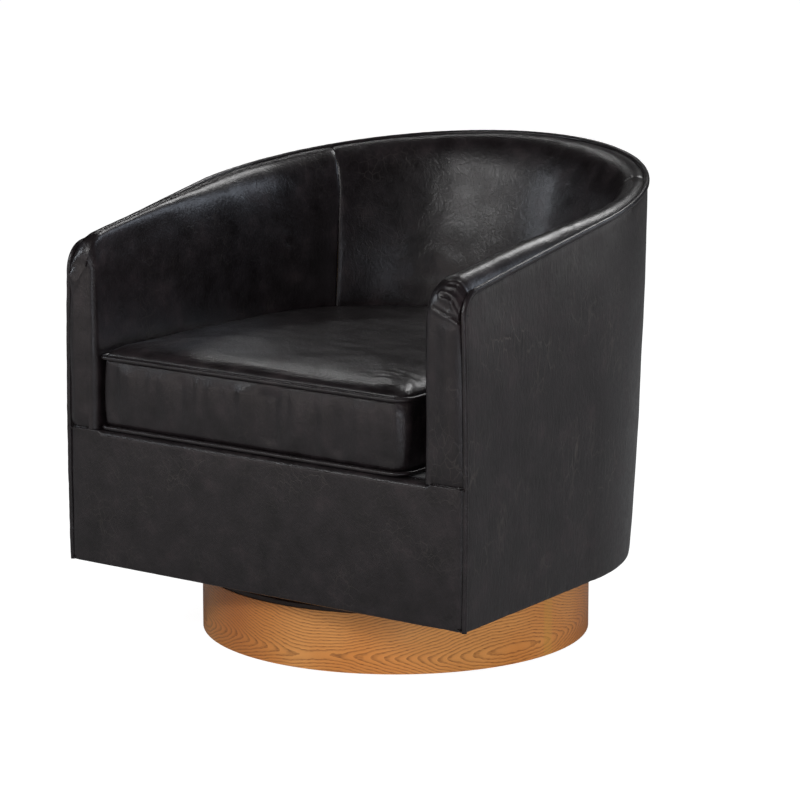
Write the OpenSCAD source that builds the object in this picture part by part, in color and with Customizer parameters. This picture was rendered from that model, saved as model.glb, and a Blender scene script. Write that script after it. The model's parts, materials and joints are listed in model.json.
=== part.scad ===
// Barrel-backed swivel lounge chair on a round plinth, with a loose seat cushion.
// Millimetres, Z up. The origin is on the floor, on the swivel axis; the chair faces -Y.

/* [Body outline] */
// Distance from the swivel axis to the front face
front_reach = 336; // [320:1:350]
// Width across the arms' outer faces along the top edge
top_w = 738; // [720:1:760]
// Distance from the swivel axis to the back's top edge
top_back = 393; // [385:1:410]
// Width across the arm fronts at the top
top_front_w = 708; // [700:1:724]
// Width across the bottom edge beside the axis
foot_w = 696; // [684:1:710]
// Distance from the swivel axis to the back's bottom edge
foot_back = 378; // [370:1:386]
// Width of the front panel along its bottom edge
foot_front_w = 718; // [708:1:730]
// Height of the arms' top edge at the front
arm_h = 605.5; // [580:0.5:640]
// Height of the back's top edge at its rearmost point
back_h = 717; // [690:1:760]
// Radius of the arms' rounded front top corner
nose_r = 25; // [18:1:34]
// Radius of the rounded edge between an arm's front and its inside
arm_edge_r = 13; // [8:1:16]

/* [Seat space] */
// Thickness of each arm at the front
arm_w = 54; // [50:1:64]
// Thickness of the sides beside the swivel axis, at the cushion's top
side_w = 64.6; // [60:0.1:76]
// Thickness of the back, at the cushion's top
back_w = 97.1; // [91:0.1:110]
// Height of the cushion's top edge, where the inside back starts to rake
seat_h = 440; // [425:1:455]
// Width of the padded roll beside the swivel axis
side_roll_w = 60; // [56:1:66]
// Width of the padded roll at the back
back_roll_w = 60; // [54:1:68]
// Drop from the top edge to the underside of the padded roll
roll_drop = 32; // [26:1:38]
// Height of the deck that the cushion lies on
deck_z = 321; // [312:1:330]

/* [Upholstery] */
// Thickness of the leather
leather_t = 1.5; // [1:0.1:2]
// Diameter of the piping along the edges
welt_d = 8; // [6:0.5:9]
// How far the piping stands out from the outside leather
welt_proud = 3; // [2:0.5:4]
// Width of the leather turned under the body
hem_w = 22; // [15:1:30]
// Thickness of the foam behind the front leather
front_pad_t = 3; // [2:0.5:5]
// Thickness of the felt pad between springs and deck cloth
deck_pad_t = 17; // [12:1:20]

/* [Frame] */
// Thickness of the bottom board
bottom_board_t = 18; // [12:1:24]
// Thickness of the bent outer panel
outer_panel_t = 3; // [2:0.5:4]
// Depth of the studs between the two panels
stud_t = 27; // [22:1:30]
// Width of the studs
stud_w = 44; // [30:1:60]
// Thickness of the bent panel behind the inside padding
inner_panel_t = 3; // [2:0.5:4]
// Height of the curved top rail
top_rail_h = 24; // [18:1:30]
// Thickness of the padding over the top rail
crown_pad_t = 20; // [14:1:26]
// Thickness of the seat ring
seat_ring_t = 18; // [12:1:24]
// Width of the seat ring inside the padding
ring_lip = 34; // [32:1:50]
// Width of the seat ring's front
ring_front_w = 70; // [50:1:90]
// Thickness of the front board and of the arm facings
facing_t = 6; // [4:0.5:9]
// Thickness of the front rail
front_rail_t = 25; // [18:1:32]
// Height of the front rail
front_rail_h = 90; // [60:1:120]
// Width of the two cross rails over the swivel
cross_rail_w = 60; // [44:1:76]
// Height of the two cross rails
cross_rail_h = 25; // [18:1:32]

/* [Springs] */
// Number of sinuous springs
spring_n = 5; // [4:1:6]
// Distance between neighbouring springs
spring_pitch = 96; // [80:1:100]
// Wire diameter
wire_d = 3.8; // [3:0.1:4.5]
// Width of a spring across its bends
spring_w = 50; // [40:1:56]
// Length of one full wave of the wire
spring_wave = 56; // [50:1:66]
// Rise of the springs above their ends
spring_crown = 7; // [4:1:9]

/* [Cushion] */
// Clearance between the cushion and the arm that it lies against
cushion_gap = 0.8; // [0.5:0.1:3]
// How much narrower than the seat the cushion is on each side
cushion_side_in = 21; // [4:1:30]
// How much shorter than the seat the cushion is at the back
cushion_back_in = 11; // [9:1:20]
// Height of the cushion's boxing band
boxing_h = 106; // [90:1:112]
// How far the cushion's crown rises above the top piping
cushion_crown = 26; // [15:1:32]
// Radius of the cushion's front corners in plan
cushion_corner_r = 34; // [20:1:44]
// How far the boxing is drawn in behind the piping
boxing_inset = 3; // [2:0.5:5]
// Width of the zip tape in the back of the boxing
zip_w = 24; // [18:1:30]
// Height of the zip slider
zip_slider_h = 13; // [9:1:16]

/* [Plinth] */
// Diameter of the round plinth
plinth_d = 590; // [560:2:610]
// Height of the veneered drum, floor pad included
plinth_h = 92; // [80:1:110]
// Thickness of the bent plywood drum wall
drum_t = 9; // [6:0.5:14]
// Thickness of the plinth's bottom board
plinth_bottom_t = 12; // [9:1:18]
// Full thickness of the rebated top board
plinth_top_t = 18; // [14:1:24]
// Height of the top board that stands on the drum wall
plinth_cap_h = 8; // [6:1:10]
// Set-back of the top board's edge from the drum's face
plinth_cap_inset = 2; // [1:0.5:4]
// Thickness of the felt floor pad
floor_pad_t = 2; // [1.5:0.5:4]
// Set-back of the floor pad from the drum's face
floor_pad_inset = 14; // [10:1:30]
// Number of spacer blocks in the plinth
block_n = 6; // [4:1:8]
// Radial depth of a spacer block
block_d = 45; // [30:1:60]
// Length of a spacer block along the drum
block_l = 70; // [50:1:90]

/* [Swivel] */
// Height of the swivel mechanism between plinth and body
swivel_h = 16.5; // [16:0.1:20]
// Side of the square swivel plates
plate_w = 290; // [280:2:310]
// Corner radius of the swivel plates
plate_corner_r = 20; // [12:1:30]
// Sheet thickness of the swivel plates
plate_t = 2.5; // [2:0.1:3]
// Radius of the ball race
race_r = 118; // [105:1:122]
// Diameter of the bearing balls
ball_d = 9; // [8:0.5:9.5]
// Number of bearing balls
ball_n = 24; // [12:1:30]
// Side clearance of a ball in its cage
ball_play = 0.15; // [0.1:0.05:0.4]
// Thickness of the ball cage
cage_t = 1.5; // [1:0.1:2]
// Width of the ball cage
cage_w = 18; // [14:1:22]
// Diameter of the centre rivet
rivet_d = 16; // [12:0.5:20]
// Diameter of the centre rivet's heads
rivet_head_d = 34; // [28:1:40]
// Radial running clearance of the centre rivet
rivet_play = 0.05; // [0.02:0.01:0.1]
// Distance between the plate's fixing holes
fixing_pitch = 250; // [240:1:262]
// Diameter of the wood screws under the lower plate
screw_d = 5; // [4:0.5:6]
// Length of the wood screws' shanks
screw_l = 14; // [10:1:16]
// Diameter of the bolts through the upper plate
bolt_d = 8; // [6:1:8]
// Height of the screw and bolt heads
head_h = 3.5; // [3:0.1:4]

/* [Hidden] */

$fn = 96;
// Clearance between pieces that lie against each other
gap = 0.3;
far = 1000;

// Heights, from the floor up
drum_top = plinth_h;
cap_top = drum_top + plinth_cap_h;
frame_z = cap_top + swivel_h;
body_z = frame_z - leather_t;
board_top = frame_z + bottom_board_t;
swivel_mid = (cap_top + frame_z) / 2;
welt_r = welt_d / 2;
// Centre of the piping behind the leather's face, and its reach into the body
welt_in = welt_r - welt_proud;
welt_clear = welt_r + gap;
welt_edge = welt_in + welt_clear;
// Distances inward from the outside leather to the layers of the wall
panel_in = leather_t + gap;
stud_play = 1.7;
stud_in = panel_in + outer_panel_t + stud_play;
stud_out = stud_in + stud_t;
inner_in = stud_out + 0.5;
foam_in = inner_in + inner_panel_t + gap;
// Distances back from the front face to the layers of the front
pad_d = leather_t + gap;
facing_d = pad_d + front_pad_t + gap;
wall_d = facing_d + facing_t + gap;
post_l = 40;
// Widths between the arms and distances from the axis to the inside back
mid_edge_z = arm_h + (back_h - arm_h) * front_reach / (top_back + front_reach);
function at_seat(foot, top, edge) = foot + (top - foot) * (seat_h - body_z) / (edge - body_z);
seat_front_w = top_front_w - 2 * arm_w;
seat_mid_w = at_seat(foot_w, top_w, mid_edge_z) - 2 * side_w;
seat_back = at_seat(foot_back, top_back, back_h) - back_w;
roll_mid_w = top_w - 2 * side_roll_w;
roll_back = top_back - back_roll_w;
// Heights of the seat support
cloth_t = 1;
pad_top = deck_z - cloth_t - gap;
pad_z = pad_top - deck_pad_t;
spring_z = pad_z - gap - wire_d / 2 - spring_crown;
clip_base = 1.5;
ring_top = spring_z - wire_d / 2 - clip_base;
ring_z = ring_top - seat_ring_t;
rail_top_in = crown_pad_t + leather_t;
stud_top_in = rail_top_in + top_rail_h + gap;
// Height of the padded roll's crest over the top edge
crest = 1;
crest_in = 24;
// Fall of the padding from the crest to the piping
crest_fall = 3;

// Plan of the body: a straight side from the front to the axis, then half an ellipse round the back.
// q runs from 2 at the right front over 0 at the back's middle to -2 at the left front.
function plan_pt(q, front_w, side_w, back) =
  abs(q) <= 1
    ? [side_w / 2 * sin(90 * q), back * cos(90 * q)]
    : [sign(q) * (side_w + (front_w - side_w) * (abs(q) - 1)) / 2, -front_reach * (abs(q) - 1)];
// Place along the straight side at a distance behind the front face
function front_q(d) = 2 - d / front_reach;
function front_d(q) = front_reach * (2 - max(1, abs(q)));
function top_pt(q) = plan_pt(q, top_front_w, top_w, top_back);
function foot_pt(q) = plan_pt(q, foot_front_w, foot_w, foot_back);
function seat_pt(q) = plan_pt(q, seat_front_w, seat_mid_w, seat_back);
function roll_pt(q) = plan_pt(q, seat_front_w, roll_mid_w, roll_back);
function across(q) = roll_pt(q) - top_pt(q);
function roll_w(q) = norm(across(q));
function inward(q) = across(q) / roll_w(q);

// The top edge lies in one sloping plane and drops round the nose of each arm.
function plane_z(q) = arm_h + (back_h - arm_h) * (top_pt(q).y + front_reach) / (top_back + front_reach);
function nose_fall(d) = d >= nose_r ? 0 : nose_r - sqrt(nose_r ^ 2 - (nose_r - d) ^ 2);
function edge_z(q) = plane_z(q) - nose_fall(front_d(q));
// A point of the wall, a distance in from the outside leather
function wall_xy(q, inset, z) =
  foot_pt(q) + (top_pt(q) - foot_pt(q)) * (z - body_z) / (plane_z(q) - body_z) + inward(q) * inset;
function wall_pt(q, inset, z) = let(p = wall_xy(q, inset, z)) [p.x, p.y, z];
// A point of the inside face, t behind the leather's surface
function inside_xy(q, z, t) =
  let(rise = plane_z(q) - roll_drop - seat_h, f = min(1, max(0, (z - seat_h) / rise)))
  seat_pt(q) + (roll_pt(q) - seat_pt(q)) * f - inward(q) * t;
function inside_pt(q, z, t) = let(p = inside_xy(q, z, t)) [p.x, p.y, z];
// The padding is rounded where the arm's front meets its inside: there the section is drawn in.
function edge_draw(d) = d >= arm_edge_r ? 0 : arm_edge_r - sqrt(arm_edge_r ^ 2 - (arm_edge_r - d) ^ 2);
// The padded roll and the inside face, from the piping over the crest down to the seat ring
roll_steps = 4;
function roll_row(q, t, low, edge_d = undef) =
  let(e = edge_z(q), w = roll_w(q), first = welt_edge + 0.2 + t / 2, o = top_pt(q), n = inward(q),
      draw = edge_draw(is_undef(edge_d) ? front_d(q) : edge_d))
  concat(
    [for (i = [0:2])
      let(m = first + (crest_in - first) * i / 3, z = e + crest - t - crest_fall * (1 - m / crest_in) ^ 2)
      [o.x + n.x * m, o.y + n.y * m, z]],
    [for (i = [0:roll_steps])
      let(a = 90 - 90 * i / roll_steps, m = crest_in + (w - crest_in - t - draw * i / roll_steps) * cos(a),
          z = e - roll_drop + (roll_drop + crest - t) * sin(a))
      [o.x + n.x * m, o.y + n.y * m, z]],
    [inside_pt(q, seat_h, t + draw), inside_pt(q, low, t + draw)]
  );

// Stations along the body
back_steps = 24;
side_ds = [for (f = [0.18, 0.39, 0.62, 0.83]) f * front_reach];
nose_ds = [wall_d, (wall_d + nose_r) / 2, nose_r];
back_qs = [for (i = [0:back_steps]) 1 - 2 * i / back_steps];
function side_qs(ds) = [for (d = ds) front_q(d)];
function mirrored(qs) = [for (i = [len(qs) - 1:-1:0]) -qs[i]];
function round_qs(ds) = let(s = side_qs(ds)) concat(s, back_qs, mirrored(s));
wall_qs = round_qs(concat(nose_ds, side_ds));
// The seams between arm and back covers, 35 degrees behind the swivel axis
seam_q = 2 / 3;
seam_gap = 0.003;

// Meshes. A loft joins loops of points; its ends are closed as strips, as fans or run round.
function idx(i, j, n) = i * n + j;
// The back half of a strip is cut along the same diagonals as its front, so that layers stay parallel.
function loft_sides(rows, n, ends) = [
  for (i = [0:rows - (ends == "round" ? 1 : 2)], j = [0:n - 1])
    let(i2 = (i + 1) % rows, j2 = (j + 1) % n,
        a = idx(i, j, n), b = idx(i2, j, n), c = idx(i2, j2, n), d = idx(i, j2, n))
    each ends == "strip" && j >= n / 2 ? [[a, b, d], [b, c, d]] : [[a, b, c], [a, c, d]]
];
function strip_cap(i, n, flip) = [
  for (j = [0:n / 2 - 2])
    let(a = idx(i, j, n), b = idx(i, j + 1, n), c = idx(i, n - 2 - j, n), d = idx(i, n - 1 - j, n))
    each flip ? [[a, c, b], [a, d, c]] : [[a, b, c], [a, c, d]]
];
function fan_cap(i, n, centre, flip) = [
  for (j = [0:n - 1])
    let(a = idx(i, j, n), b = idx(i, (j + 1) % n, n)) flip ? [a, centre, b] : [a, b, centre]
];
function mean(ps) = [for (k = [0:2]) [for (p = ps) p[k]] * [for (p = ps) 1] / len(ps)];
function volume(ps, fs) = [for (f = fs) ps[f[0]] * cross(ps[f[1]], ps[f[2]])] * [for (f = fs) 1] / 6;
function turned(fs) = [for (f = fs) [f[0], f[2], f[1]]];
module mesh(ps, fs) polyhedron(points = ps, faces = volume(ps, fs) > 0 ? turned(fs) : fs);
module loft(rows, ends = "strip") {
  n = len(rows[0]);
  last = len(rows) - 1;
  base = [for (r = rows) each r];
  ps = ends == "fan" ? concat(base, [mean(rows[0]), mean(rows[last])]) : base;
  caps =
    ends == "strip" ? concat(strip_cap(0, n, false), strip_cap(last, n, true))
    : ends == "fan" ? concat(fan_cap(0, n, len(base), false), fan_cap(last, n, len(base) + 1, true))
    : [];
  mesh(ps, concat(loft_sides(len(rows), n, ends), caps));
}
function reversed(ps) = [for (i = [len(ps) - 1:-1:0]) ps[i]];
// A layer between a front row and a back row at each station
function layer(front, back) = [for (i = [0:len(front) - 1]) concat(front[i], reversed(back[i]))];
// The wall's layers share these levels, as shares of its height, so that they stay parallel.
levels = [0.75, 0.5, 0.25];
function level_z(q, f) = body_z + (plane_z(q) - body_z) * f;
// A line down the wall at one depth, from a height over the levels above its foot to the foot
function wall_line(q, inset, top, low, count) = concat(
  [wall_pt(q, inset, top)],
  [for (i = [0:1:count - 1]) wall_pt(q, inset, level_z(q, levels[i]))],
  [wall_pt(q, inset, low)]
);
// A band of the wall between two depths, from a distance under the top edge down to its foot
module wall_band(qs, in_a, in_b, low, top_in, count) {
  function line(q, inset) = wall_line(q, inset, edge_z(q) - top_in, low, count);
  loft(layer([for (q = qs) line(q, in_a)], [for (q = qs) line(q, in_b)]));
}
// A round cord swept along a path; side is the direction across it at each point
function cord_ring(p, along, side, r, sides) =
  let(u = side - along * (side * along), a = u / norm(u), b = cross(along, a))
  [for (k = [0:sides - 1]) p + r * (a * cos(360 * k / sides) + b * sin(360 * k / sides))];
function along(path, i, round = false) =
  let(n = len(path), a = round ? path[(i + n - 1) % n] : path[max(0, i - 1)],
      b = round ? path[(i + 1) % n] : path[min(n - 1, i + 1)])
  (b - a) / norm(b - a);
module cord(path, sides_to, r, sides, round = false)
  loft([for (i = [0:len(path) - 1]) cord_ring(path[i], along(path, i, round), sides_to[i], r, sides)],
       round ? "round" : "fan");
// Outline of a board in the body's plan, open at the front line. The body leans, and the board fits
// its narrower level.
function board_xy(q, inset, z, t) =
  let(a = wall_xy(q, inset, z), b = wall_xy(q, inset, z + t)) norm(a) < norm(b) ? a : b;
function board_outline(inset, z, t, front_line) =
  let(corner = board_xy(2, max(inset, welt_edge + gap), z, t).x)
  concat(
    [[corner, -front_reach + front_line]],
    [for (q = wall_qs) if (front_d(q) > front_line + 1) board_xy(q, inset, z, t)],
    [[-corner, -front_reach + front_line]]
  );
module at_fixings(pitch = fixing_pitch)
  for (x = [-1, 1], y = [-1, 1])
    translate([x * pitch / 2, y * pitch / 2, 0]) children();
module mirrored_pair() {
  children();
  mirror([1, 0, 0]) children();
}

// Plinth
drum_r = plinth_d / 2;
drum_inner_r = drum_r - drum_t;
plinth_top_z = cap_top - plinth_top_t;
block_r = sqrt(drum_inner_r ^ 2 - (block_l / 2) ^ 2) - gap;
pilot_r = screw_d / 2 + 0.1;
edge_r = 2;

module floor_pad()
  color("dimgray") cylinder(h = floor_pad_t, r = drum_r - floor_pad_inset);

module base_bottom_board()
  color("burlywood") translate([0, 0, floor_pad_t]) cylinder(h = plinth_bottom_t, r = drum_inner_r);

module base_drum()
  color("peru")
    translate([0, 0, floor_pad_t])
      linear_extrude(drum_top - floor_pad_t)
        difference() {
          circle(r = drum_r);
          circle(r = drum_inner_r);
        }

module base_blocks()
  color("burlywood")
    for (i = [0:block_n - 1])
      rotate(360 / block_n * (i + 0.5))
        translate([block_r - block_d, -block_l / 2, floor_pad_t + plinth_bottom_t])
          cube([block_d, block_l, plinth_top_z - floor_pad_t - plinth_bottom_t]);

// Turned top board: its rebate drops inside the drum wall and its cap covers the wall's edge.
module base_top_board() {
  cap_r = drum_r - plinth_cap_inset;
  square_top = cap_top - edge_r;
  color("#2a1c16")
    difference() {
      rotate_extrude()
        union() {
          translate([0, plinth_top_z]) square([drum_inner_r, plinth_top_t]);
          translate([0, drum_top]) square([cap_r, plinth_cap_h - edge_r]);
          translate([0, square_top]) square([cap_r - edge_r, edge_r]);
          translate([cap_r - edge_r, square_top])
            intersection() {
              circle(r = edge_r);
              square(edge_r);
            }
        }
      at_fixings() translate([0, 0, cap_top - screw_l - 1]) cylinder(h = far, r = pilot_r);
    }
}

// Swivel: two pressed plates that face each other across a ring of caged balls
race_depth = 2.5;
race_play = 0.05;
shoulder_w = 8;
hub_r = rivet_head_d / 2 + 5;
hub_gap = 1;
ball_r = ball_d / 2;
plate_holes_r = bolt_d / 2 + 0.3;
rivet_head_h = 3;

// Half section of a plate from its hub out to the flange, with the groove that the balls run in.
// Heights count from the swivel's middle plane: face is the side towards the balls.
module plate_section(bore) {
  low = -swivel_h / 2;
  hub_face = -hub_gap / 2;
  shoulder = -race_depth + 0.3;
  face = [
    [bore, hub_face], [hub_r, hub_face], [hub_r + 9, low + plate_t],
    [race_r - shoulder_w - 7, low + plate_t], [race_r - shoulder_w, shoulder],
    [race_r + shoulder_w, shoulder], [race_r + shoulder_w + 7, low + plate_t],
    [race_r + shoulder_w + 9, low + plate_t]
  ];
  back = [
    [race_r + shoulder_w + 9, low], [race_r + shoulder_w + 5, low],
    [race_r + shoulder_w - 2, shoulder - plate_t], [race_r + ball_r + 1, shoulder - plate_t],
    [race_r + 2, low], [race_r - 2, low],
    [race_r - ball_r - 1, shoulder - plate_t], [race_r - shoulder_w + 2, shoulder - plate_t],
    [race_r - shoulder_w - 5, low], [hub_r + 8, low],
    [hub_r - 1, hub_face - plate_t], [bore, hub_face - plate_t]
  ];
  difference() {
    polygon(concat(face, back));
    translate([race_r, 0]) circle(r = ball_r + race_play);
  }
}

module swivel_plate(bore)
  difference() {
    union() {
      rotate_extrude() plate_section(bore);
      translate([0, 0, -swivel_h / 2])
        linear_extrude(plate_t)
          difference() {
            square_plate();
            circle(r = race_r + shoulder_w + 8);
          }
    }
    at_fixings() translate([0, 0, -far / 2]) cylinder(h = far, r = plate_holes_r);
  }

module square_plate() {
  side = plate_w / 2 - plate_corner_r;
  square([2 * side, plate_w], center = true);
  square([plate_w, 2 * side], center = true);
  for (x = [-side, side], y = [-side, side]) translate([x, y]) circle(r = plate_corner_r);
}

module lower_swivel_plate()
  color("#3a3a3c") translate([0, 0, swivel_mid]) swivel_plate(rivet_d / 2 + rivet_play);

module upper_swivel_plate()
  color("#3a3a3c") translate([0, 0, swivel_mid]) mirror([0, 0, 1]) swivel_plate(rivet_d / 2 + rivet_play);

module lower_plate_screws()
  color("silver")
    at_fixings()
      translate([0, 0, cap_top + plate_t]) {
        cylinder(h = head_h, r1 = screw_d + 1, r2 = screw_d - 1);
        translate([0, 0, -plate_t - screw_l]) cylinder(h = plate_t + screw_l + 1, r = screw_d / 2);
      }

module ball_cage()
  color("ivory")
    translate([0, 0, swivel_mid - cage_t / 2])
      difference() {
        cylinder(h = cage_t, r = race_r + cage_w / 2);
        translate([0, 0, -1]) cylinder(h = cage_t + 2, r = race_r - cage_w / 2);
        for (i = [0:ball_n - 1])
          rotate(360 / ball_n * i)
            translate([race_r, 0, -1]) cylinder(h = cage_t + 2, r = ball_r + ball_play);
      }

module bearing_balls()
  color("silver")
    for (i = [0:ball_n - 1])
      rotate(360 / ball_n * i) translate([race_r, 0, swivel_mid]) sphere(r = ball_r, $fn = 32);

// The rivet turns with the upper plate and holds the lower hub between its foot and the washer.
module swivel_rivet() {
  reach = hub_gap / 2 + plate_t + 2 * rivet_play;
  color("#55565a")
    translate([0, 0, swivel_mid]) {
      translate([0, 0, -reach - rivet_head_h]) cylinder(h = rivet_head_h, r = rivet_head_d / 2);
      translate([0, 0, -reach - 1]) cylinder(h = 2 * reach + 2, r = rivet_d / 2);
      translate([0, 0, reach]) cylinder(h = rivet_head_h, r = rivet_head_d / 2);
    }
}

module rivet_washer()
  color("ivory")
    translate([0, 0, swivel_mid - hub_gap / 2 + rivet_play])
      difference() {
        cylinder(h = hub_gap - 2 * rivet_play, r = hub_r - 1);
        translate([0, 0, -1]) cylinder(h = hub_gap + 2, r = rivet_d / 2 + ball_play);
      }

tee_flange_t = 1.5;
tee_rim = 3;
tee_barrel_l = 10;
tee_barrel_r = bolt_d / 2 + 1.2;
bolt_top = board_top + cross_rail_h;

module upper_plate_bolts()
  color("#55565a")
    at_fixings()
      translate([0, 0, frame_z - plate_t - head_h]) {
        cylinder(h = head_h, r = bolt_d * 0.82, $fn = 6);
        cylinder(h = head_h + plate_t + bottom_board_t + cross_rail_h + tee_flange_t, r = bolt_d / 2);
      }

// A tee nut sits in each cross rail: a flange on top and a barrel down in the wood.
module tee_nuts()
  color("silver")
    at_fixings()
      translate([0, 0, bolt_top])
        difference() {
          union() {
            cylinder(h = tee_flange_t, r = bolt_d + tee_rim);
            translate([0, 0, -tee_barrel_l]) cylinder(h = tee_barrel_l + tee_flange_t / 2, r = tee_barrel_r);
          }
          translate([0, 0, -tee_barrel_l - 1]) cylinder(h = 2 * tee_barrel_l, r = bolt_d / 2 + 0.1);
        }

// Frame
module bottom_board()
  color("burlywood")
    difference() {
      translate([0, 0, frame_z])
        linear_extrude(bottom_board_t) polygon(board_outline(panel_in, frame_z, bottom_board_t, facing_d));
      at_fixings() translate([0, 0, frame_z - 1]) cylinder(h = bottom_board_t + 2, r = plate_holes_r);
    }

// The cross rails end inside the studs.
rail_play = cross_rail_w / 3;
rail_reach = (fixing_pitch + cross_rail_w) / 2;
rail_q = acos(rail_reach / (foot_back - stud_out)) / 90;
cross_rail_l = 2 * (wall_xy(rail_q, stud_out, board_top).x - rail_play);
module cross_rails()
  color("tan")
    for (y = [-1, 1])
      difference() {
        translate([-cross_rail_l / 2, y * fixing_pitch / 2 - cross_rail_w / 2, board_top])
          cube([cross_rail_l, cross_rail_w, cross_rail_h]);
        for (x = [-1, 1])
          translate([x * fixing_pitch / 2, y * fixing_pitch / 2, board_top - 1]) {
            cylinder(h = cross_rail_h + 2, r = plate_holes_r);
            translate([0, 0, cross_rail_h + 0.5 - tee_barrel_l]) cylinder(h = far, r = tee_barrel_r + 0.1);
          }
      }

dust_clear = 4;
module dust_cover()
  color("#202022")
    translate([0, 0, frame_z - cloth_t])
      linear_extrude(cloth_t)
        difference() {
          polygon(board_outline(hem_w + 1, body_z, leather_t, deck_d));
          square(plate_w + 2 * dust_clear, center = true);
        }

module outer_panel()
  color("burlywood") wall_band(wall_qs, panel_in, panel_in + outer_panel_t, board_top, stud_top_in, 3);

module inner_panel()
  color("burlywood") wall_band(wall_qs, inner_in, inner_in + inner_panel_t, ring_top, stud_top_in, 2);

// An upright in the wall at one station, from the bottom board to the sloping top rail
edge_slope = (back_h - arm_h) / (top_back + front_reach);
module upright(q, half) {
  function side(z) = let(d = wall_xy(q - 0.01, stud_in, z) - wall_xy(q + 0.01, stud_in, z)) d / norm(d);
  function corner(c, z) =
    let(s = side(z) * c[1] * half, p = wall_pt(q, c[0], z)) [p.x + s.x, p.y + s.y, p.z];
  corners = [[stud_in, -1], [stud_in, 1], [stud_out, 1], [stud_out, -1]];
  top = min(edge_z(q), edge_z(front_q(max(wall_d, front_d(q) - half)))) - stud_top_in - gap;
  function high(c) =
    let(p = corner(c, top), middle = corner([c[0], 0], top))
    [p.x, p.y, p.z + min(0, edge_slope * (p.y - middle.y))];
  loft([[for (c = corners) corner(c, board_top)], [for (c = corners) high(c)]]);
}

stud_qs = [1.62, 1.28, 11 / 12, 7 / 12, 3 / 12];
module wall_studs()
  color("tan") {
    mirrored_pair() for (q = stud_qs) upright(q, stud_w / 2);
    upright(0, stud_w / 2);
  }

module arm_posts()
  color("tan") mirrored_pair() upright(front_q(wall_d + post_l / 2), post_l / 2);

// The top rail caps studs and panels; it is bent in plan and follows the sloping edge.
module top_rail() {
  function line(q, inset) =
    wall_line(q, inset, edge_z(q) - rail_top_in, edge_z(q) - rail_top_in - top_rail_h, 0);
  back = inner_in + inner_panel_t;
  color("tan") loft(layer([for (q = wall_qs) line(q, panel_in)], [for (q = wall_qs) line(q, back)]));
}

// The seat space's outline, a distance in from its sides and behind its front
function deck_outline(clear, front_line) =
  let(half = inside_xy(front_q(front_line), seat_h, -clear).x)
  concat(
    [[half, -front_reach + front_line]],
    [for (q = wall_qs) if (front_d(q) > front_line + 1) inside_xy(q, seat_h, -clear)],
    [[-half, -front_reach + front_line]]
  );

// D-shaped seat ring round an opening that the springs span
module seat_ring()
  color("burlywood")
    translate([0, 0, ring_z])
      linear_extrude(seat_ring_t)
        difference() {
          polygon(board_outline(inner_in, ring_z, seat_ring_t, wall_d));
          polygon(deck_outline(ring_lip, wall_d + ring_front_w));
        }

module front_rail() {
  half = min([for (q = [2, front_q(wall_d + front_rail_t)], z = [ring_z - front_rail_h, ring_z])
    wall_xy(q, stud_out + gap, z).x]);
  color("tan")
    translate([-half, -front_reach + wall_d, ring_z - front_rail_h])
      cube([2 * half, front_rail_t, front_rail_h]);
}

// Half-width of the front layers at a height, clear of the piping
function face_x(z, spare = 0) = wall_xy(2, welt_edge + spare, z).x;
front_board_drop = 10;
front_board_top = deck_z - front_board_drop;
module front_board()
  color("burlywood")
    translate([0, -front_reach + facing_d + facing_t, 0])
      rotate([90, 0, 0])
        linear_extrude(facing_t)
          polygon([
            [-face_x(board_top), board_top], [face_x(board_top), board_top],
            [face_x(front_board_top), front_board_top], [-face_x(front_board_top), front_board_top]
          ]);

// The arm front's outline, as deep behind the leather as t, at a distance behind the front face
function arm_front_outline(d, t, low, edge_d) =
  let(q = front_q(d), row = roll_row(q, t, low, edge_d))
  concat([for (p = row) [p.x, p.z]], [[face_x(low, t / 2), low]]);
module arm_front_layer(d, depth, t, low, edge_d = undef)
  translate([0, -front_reach + d + depth, 0])
    rotate([90, 0, 0]) linear_extrude(depth) polygon(arm_front_outline(d, t, low, edge_d));

module arm_facings()
  color("burlywood")
    mirrored_pair() arm_front_layer(facing_d, facing_t, leather_t + gap, front_board_top + gap);

// Sinuous springs run from the ring's front to its back. Each end turns across and lies in a clip.
spring_xs = [for (i = [0:spring_n - 1]) (i - (spring_n - 1) / 2) * spring_pitch];
spring_front = -front_reach + wall_d + ring_front_w - 12;
clip_w = 18;
clip_t = 1.2;
clip_tail = 6;
clip_play = 0.2;
end_bend = 3;
function spring_end(x, y, side) =
  let(x1 = x + spring_w / 2)
  [[x1 - end_bend - clip_w - 2, y, spring_z], [x1 - end_bend, y, spring_z],
   [x1, y + side * end_bend, spring_z]];
function spring_back(x) =
  let(a = asin((abs(x) + spring_w / 2) / (seat_mid_w / 2 - ring_lip)))
  (seat_back - ring_lip) * cos(a) + 12;
bend_steps = 4;
function spring_path(x) =
  let(y0 = spring_front, y1 = spring_back(x), waves = round((y1 - y0) / spring_wave),
      steps = waves * 2 * bend_steps)
  concat(
    spring_end(x, y0, 1),
    [for (i = [1:steps - 1])
      let(f = i / steps, s = sin(360 * f * waves + 90), side = sign(s) * abs(s) ^ 0.45)
      [x + spring_w / 2 * side, y0 + (y1 - y0) * f, spring_z + spring_crown * sin(180 * f)]],
    reversed(spring_end(x, y1, -1))
  );

module seat_springs()
  color("#77787c")
    for (x = spring_xs)
      let(path = spring_path(x)) cord(path, [for (p = path) [0, 0, 1]], wire_d / 2, 5);

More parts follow.
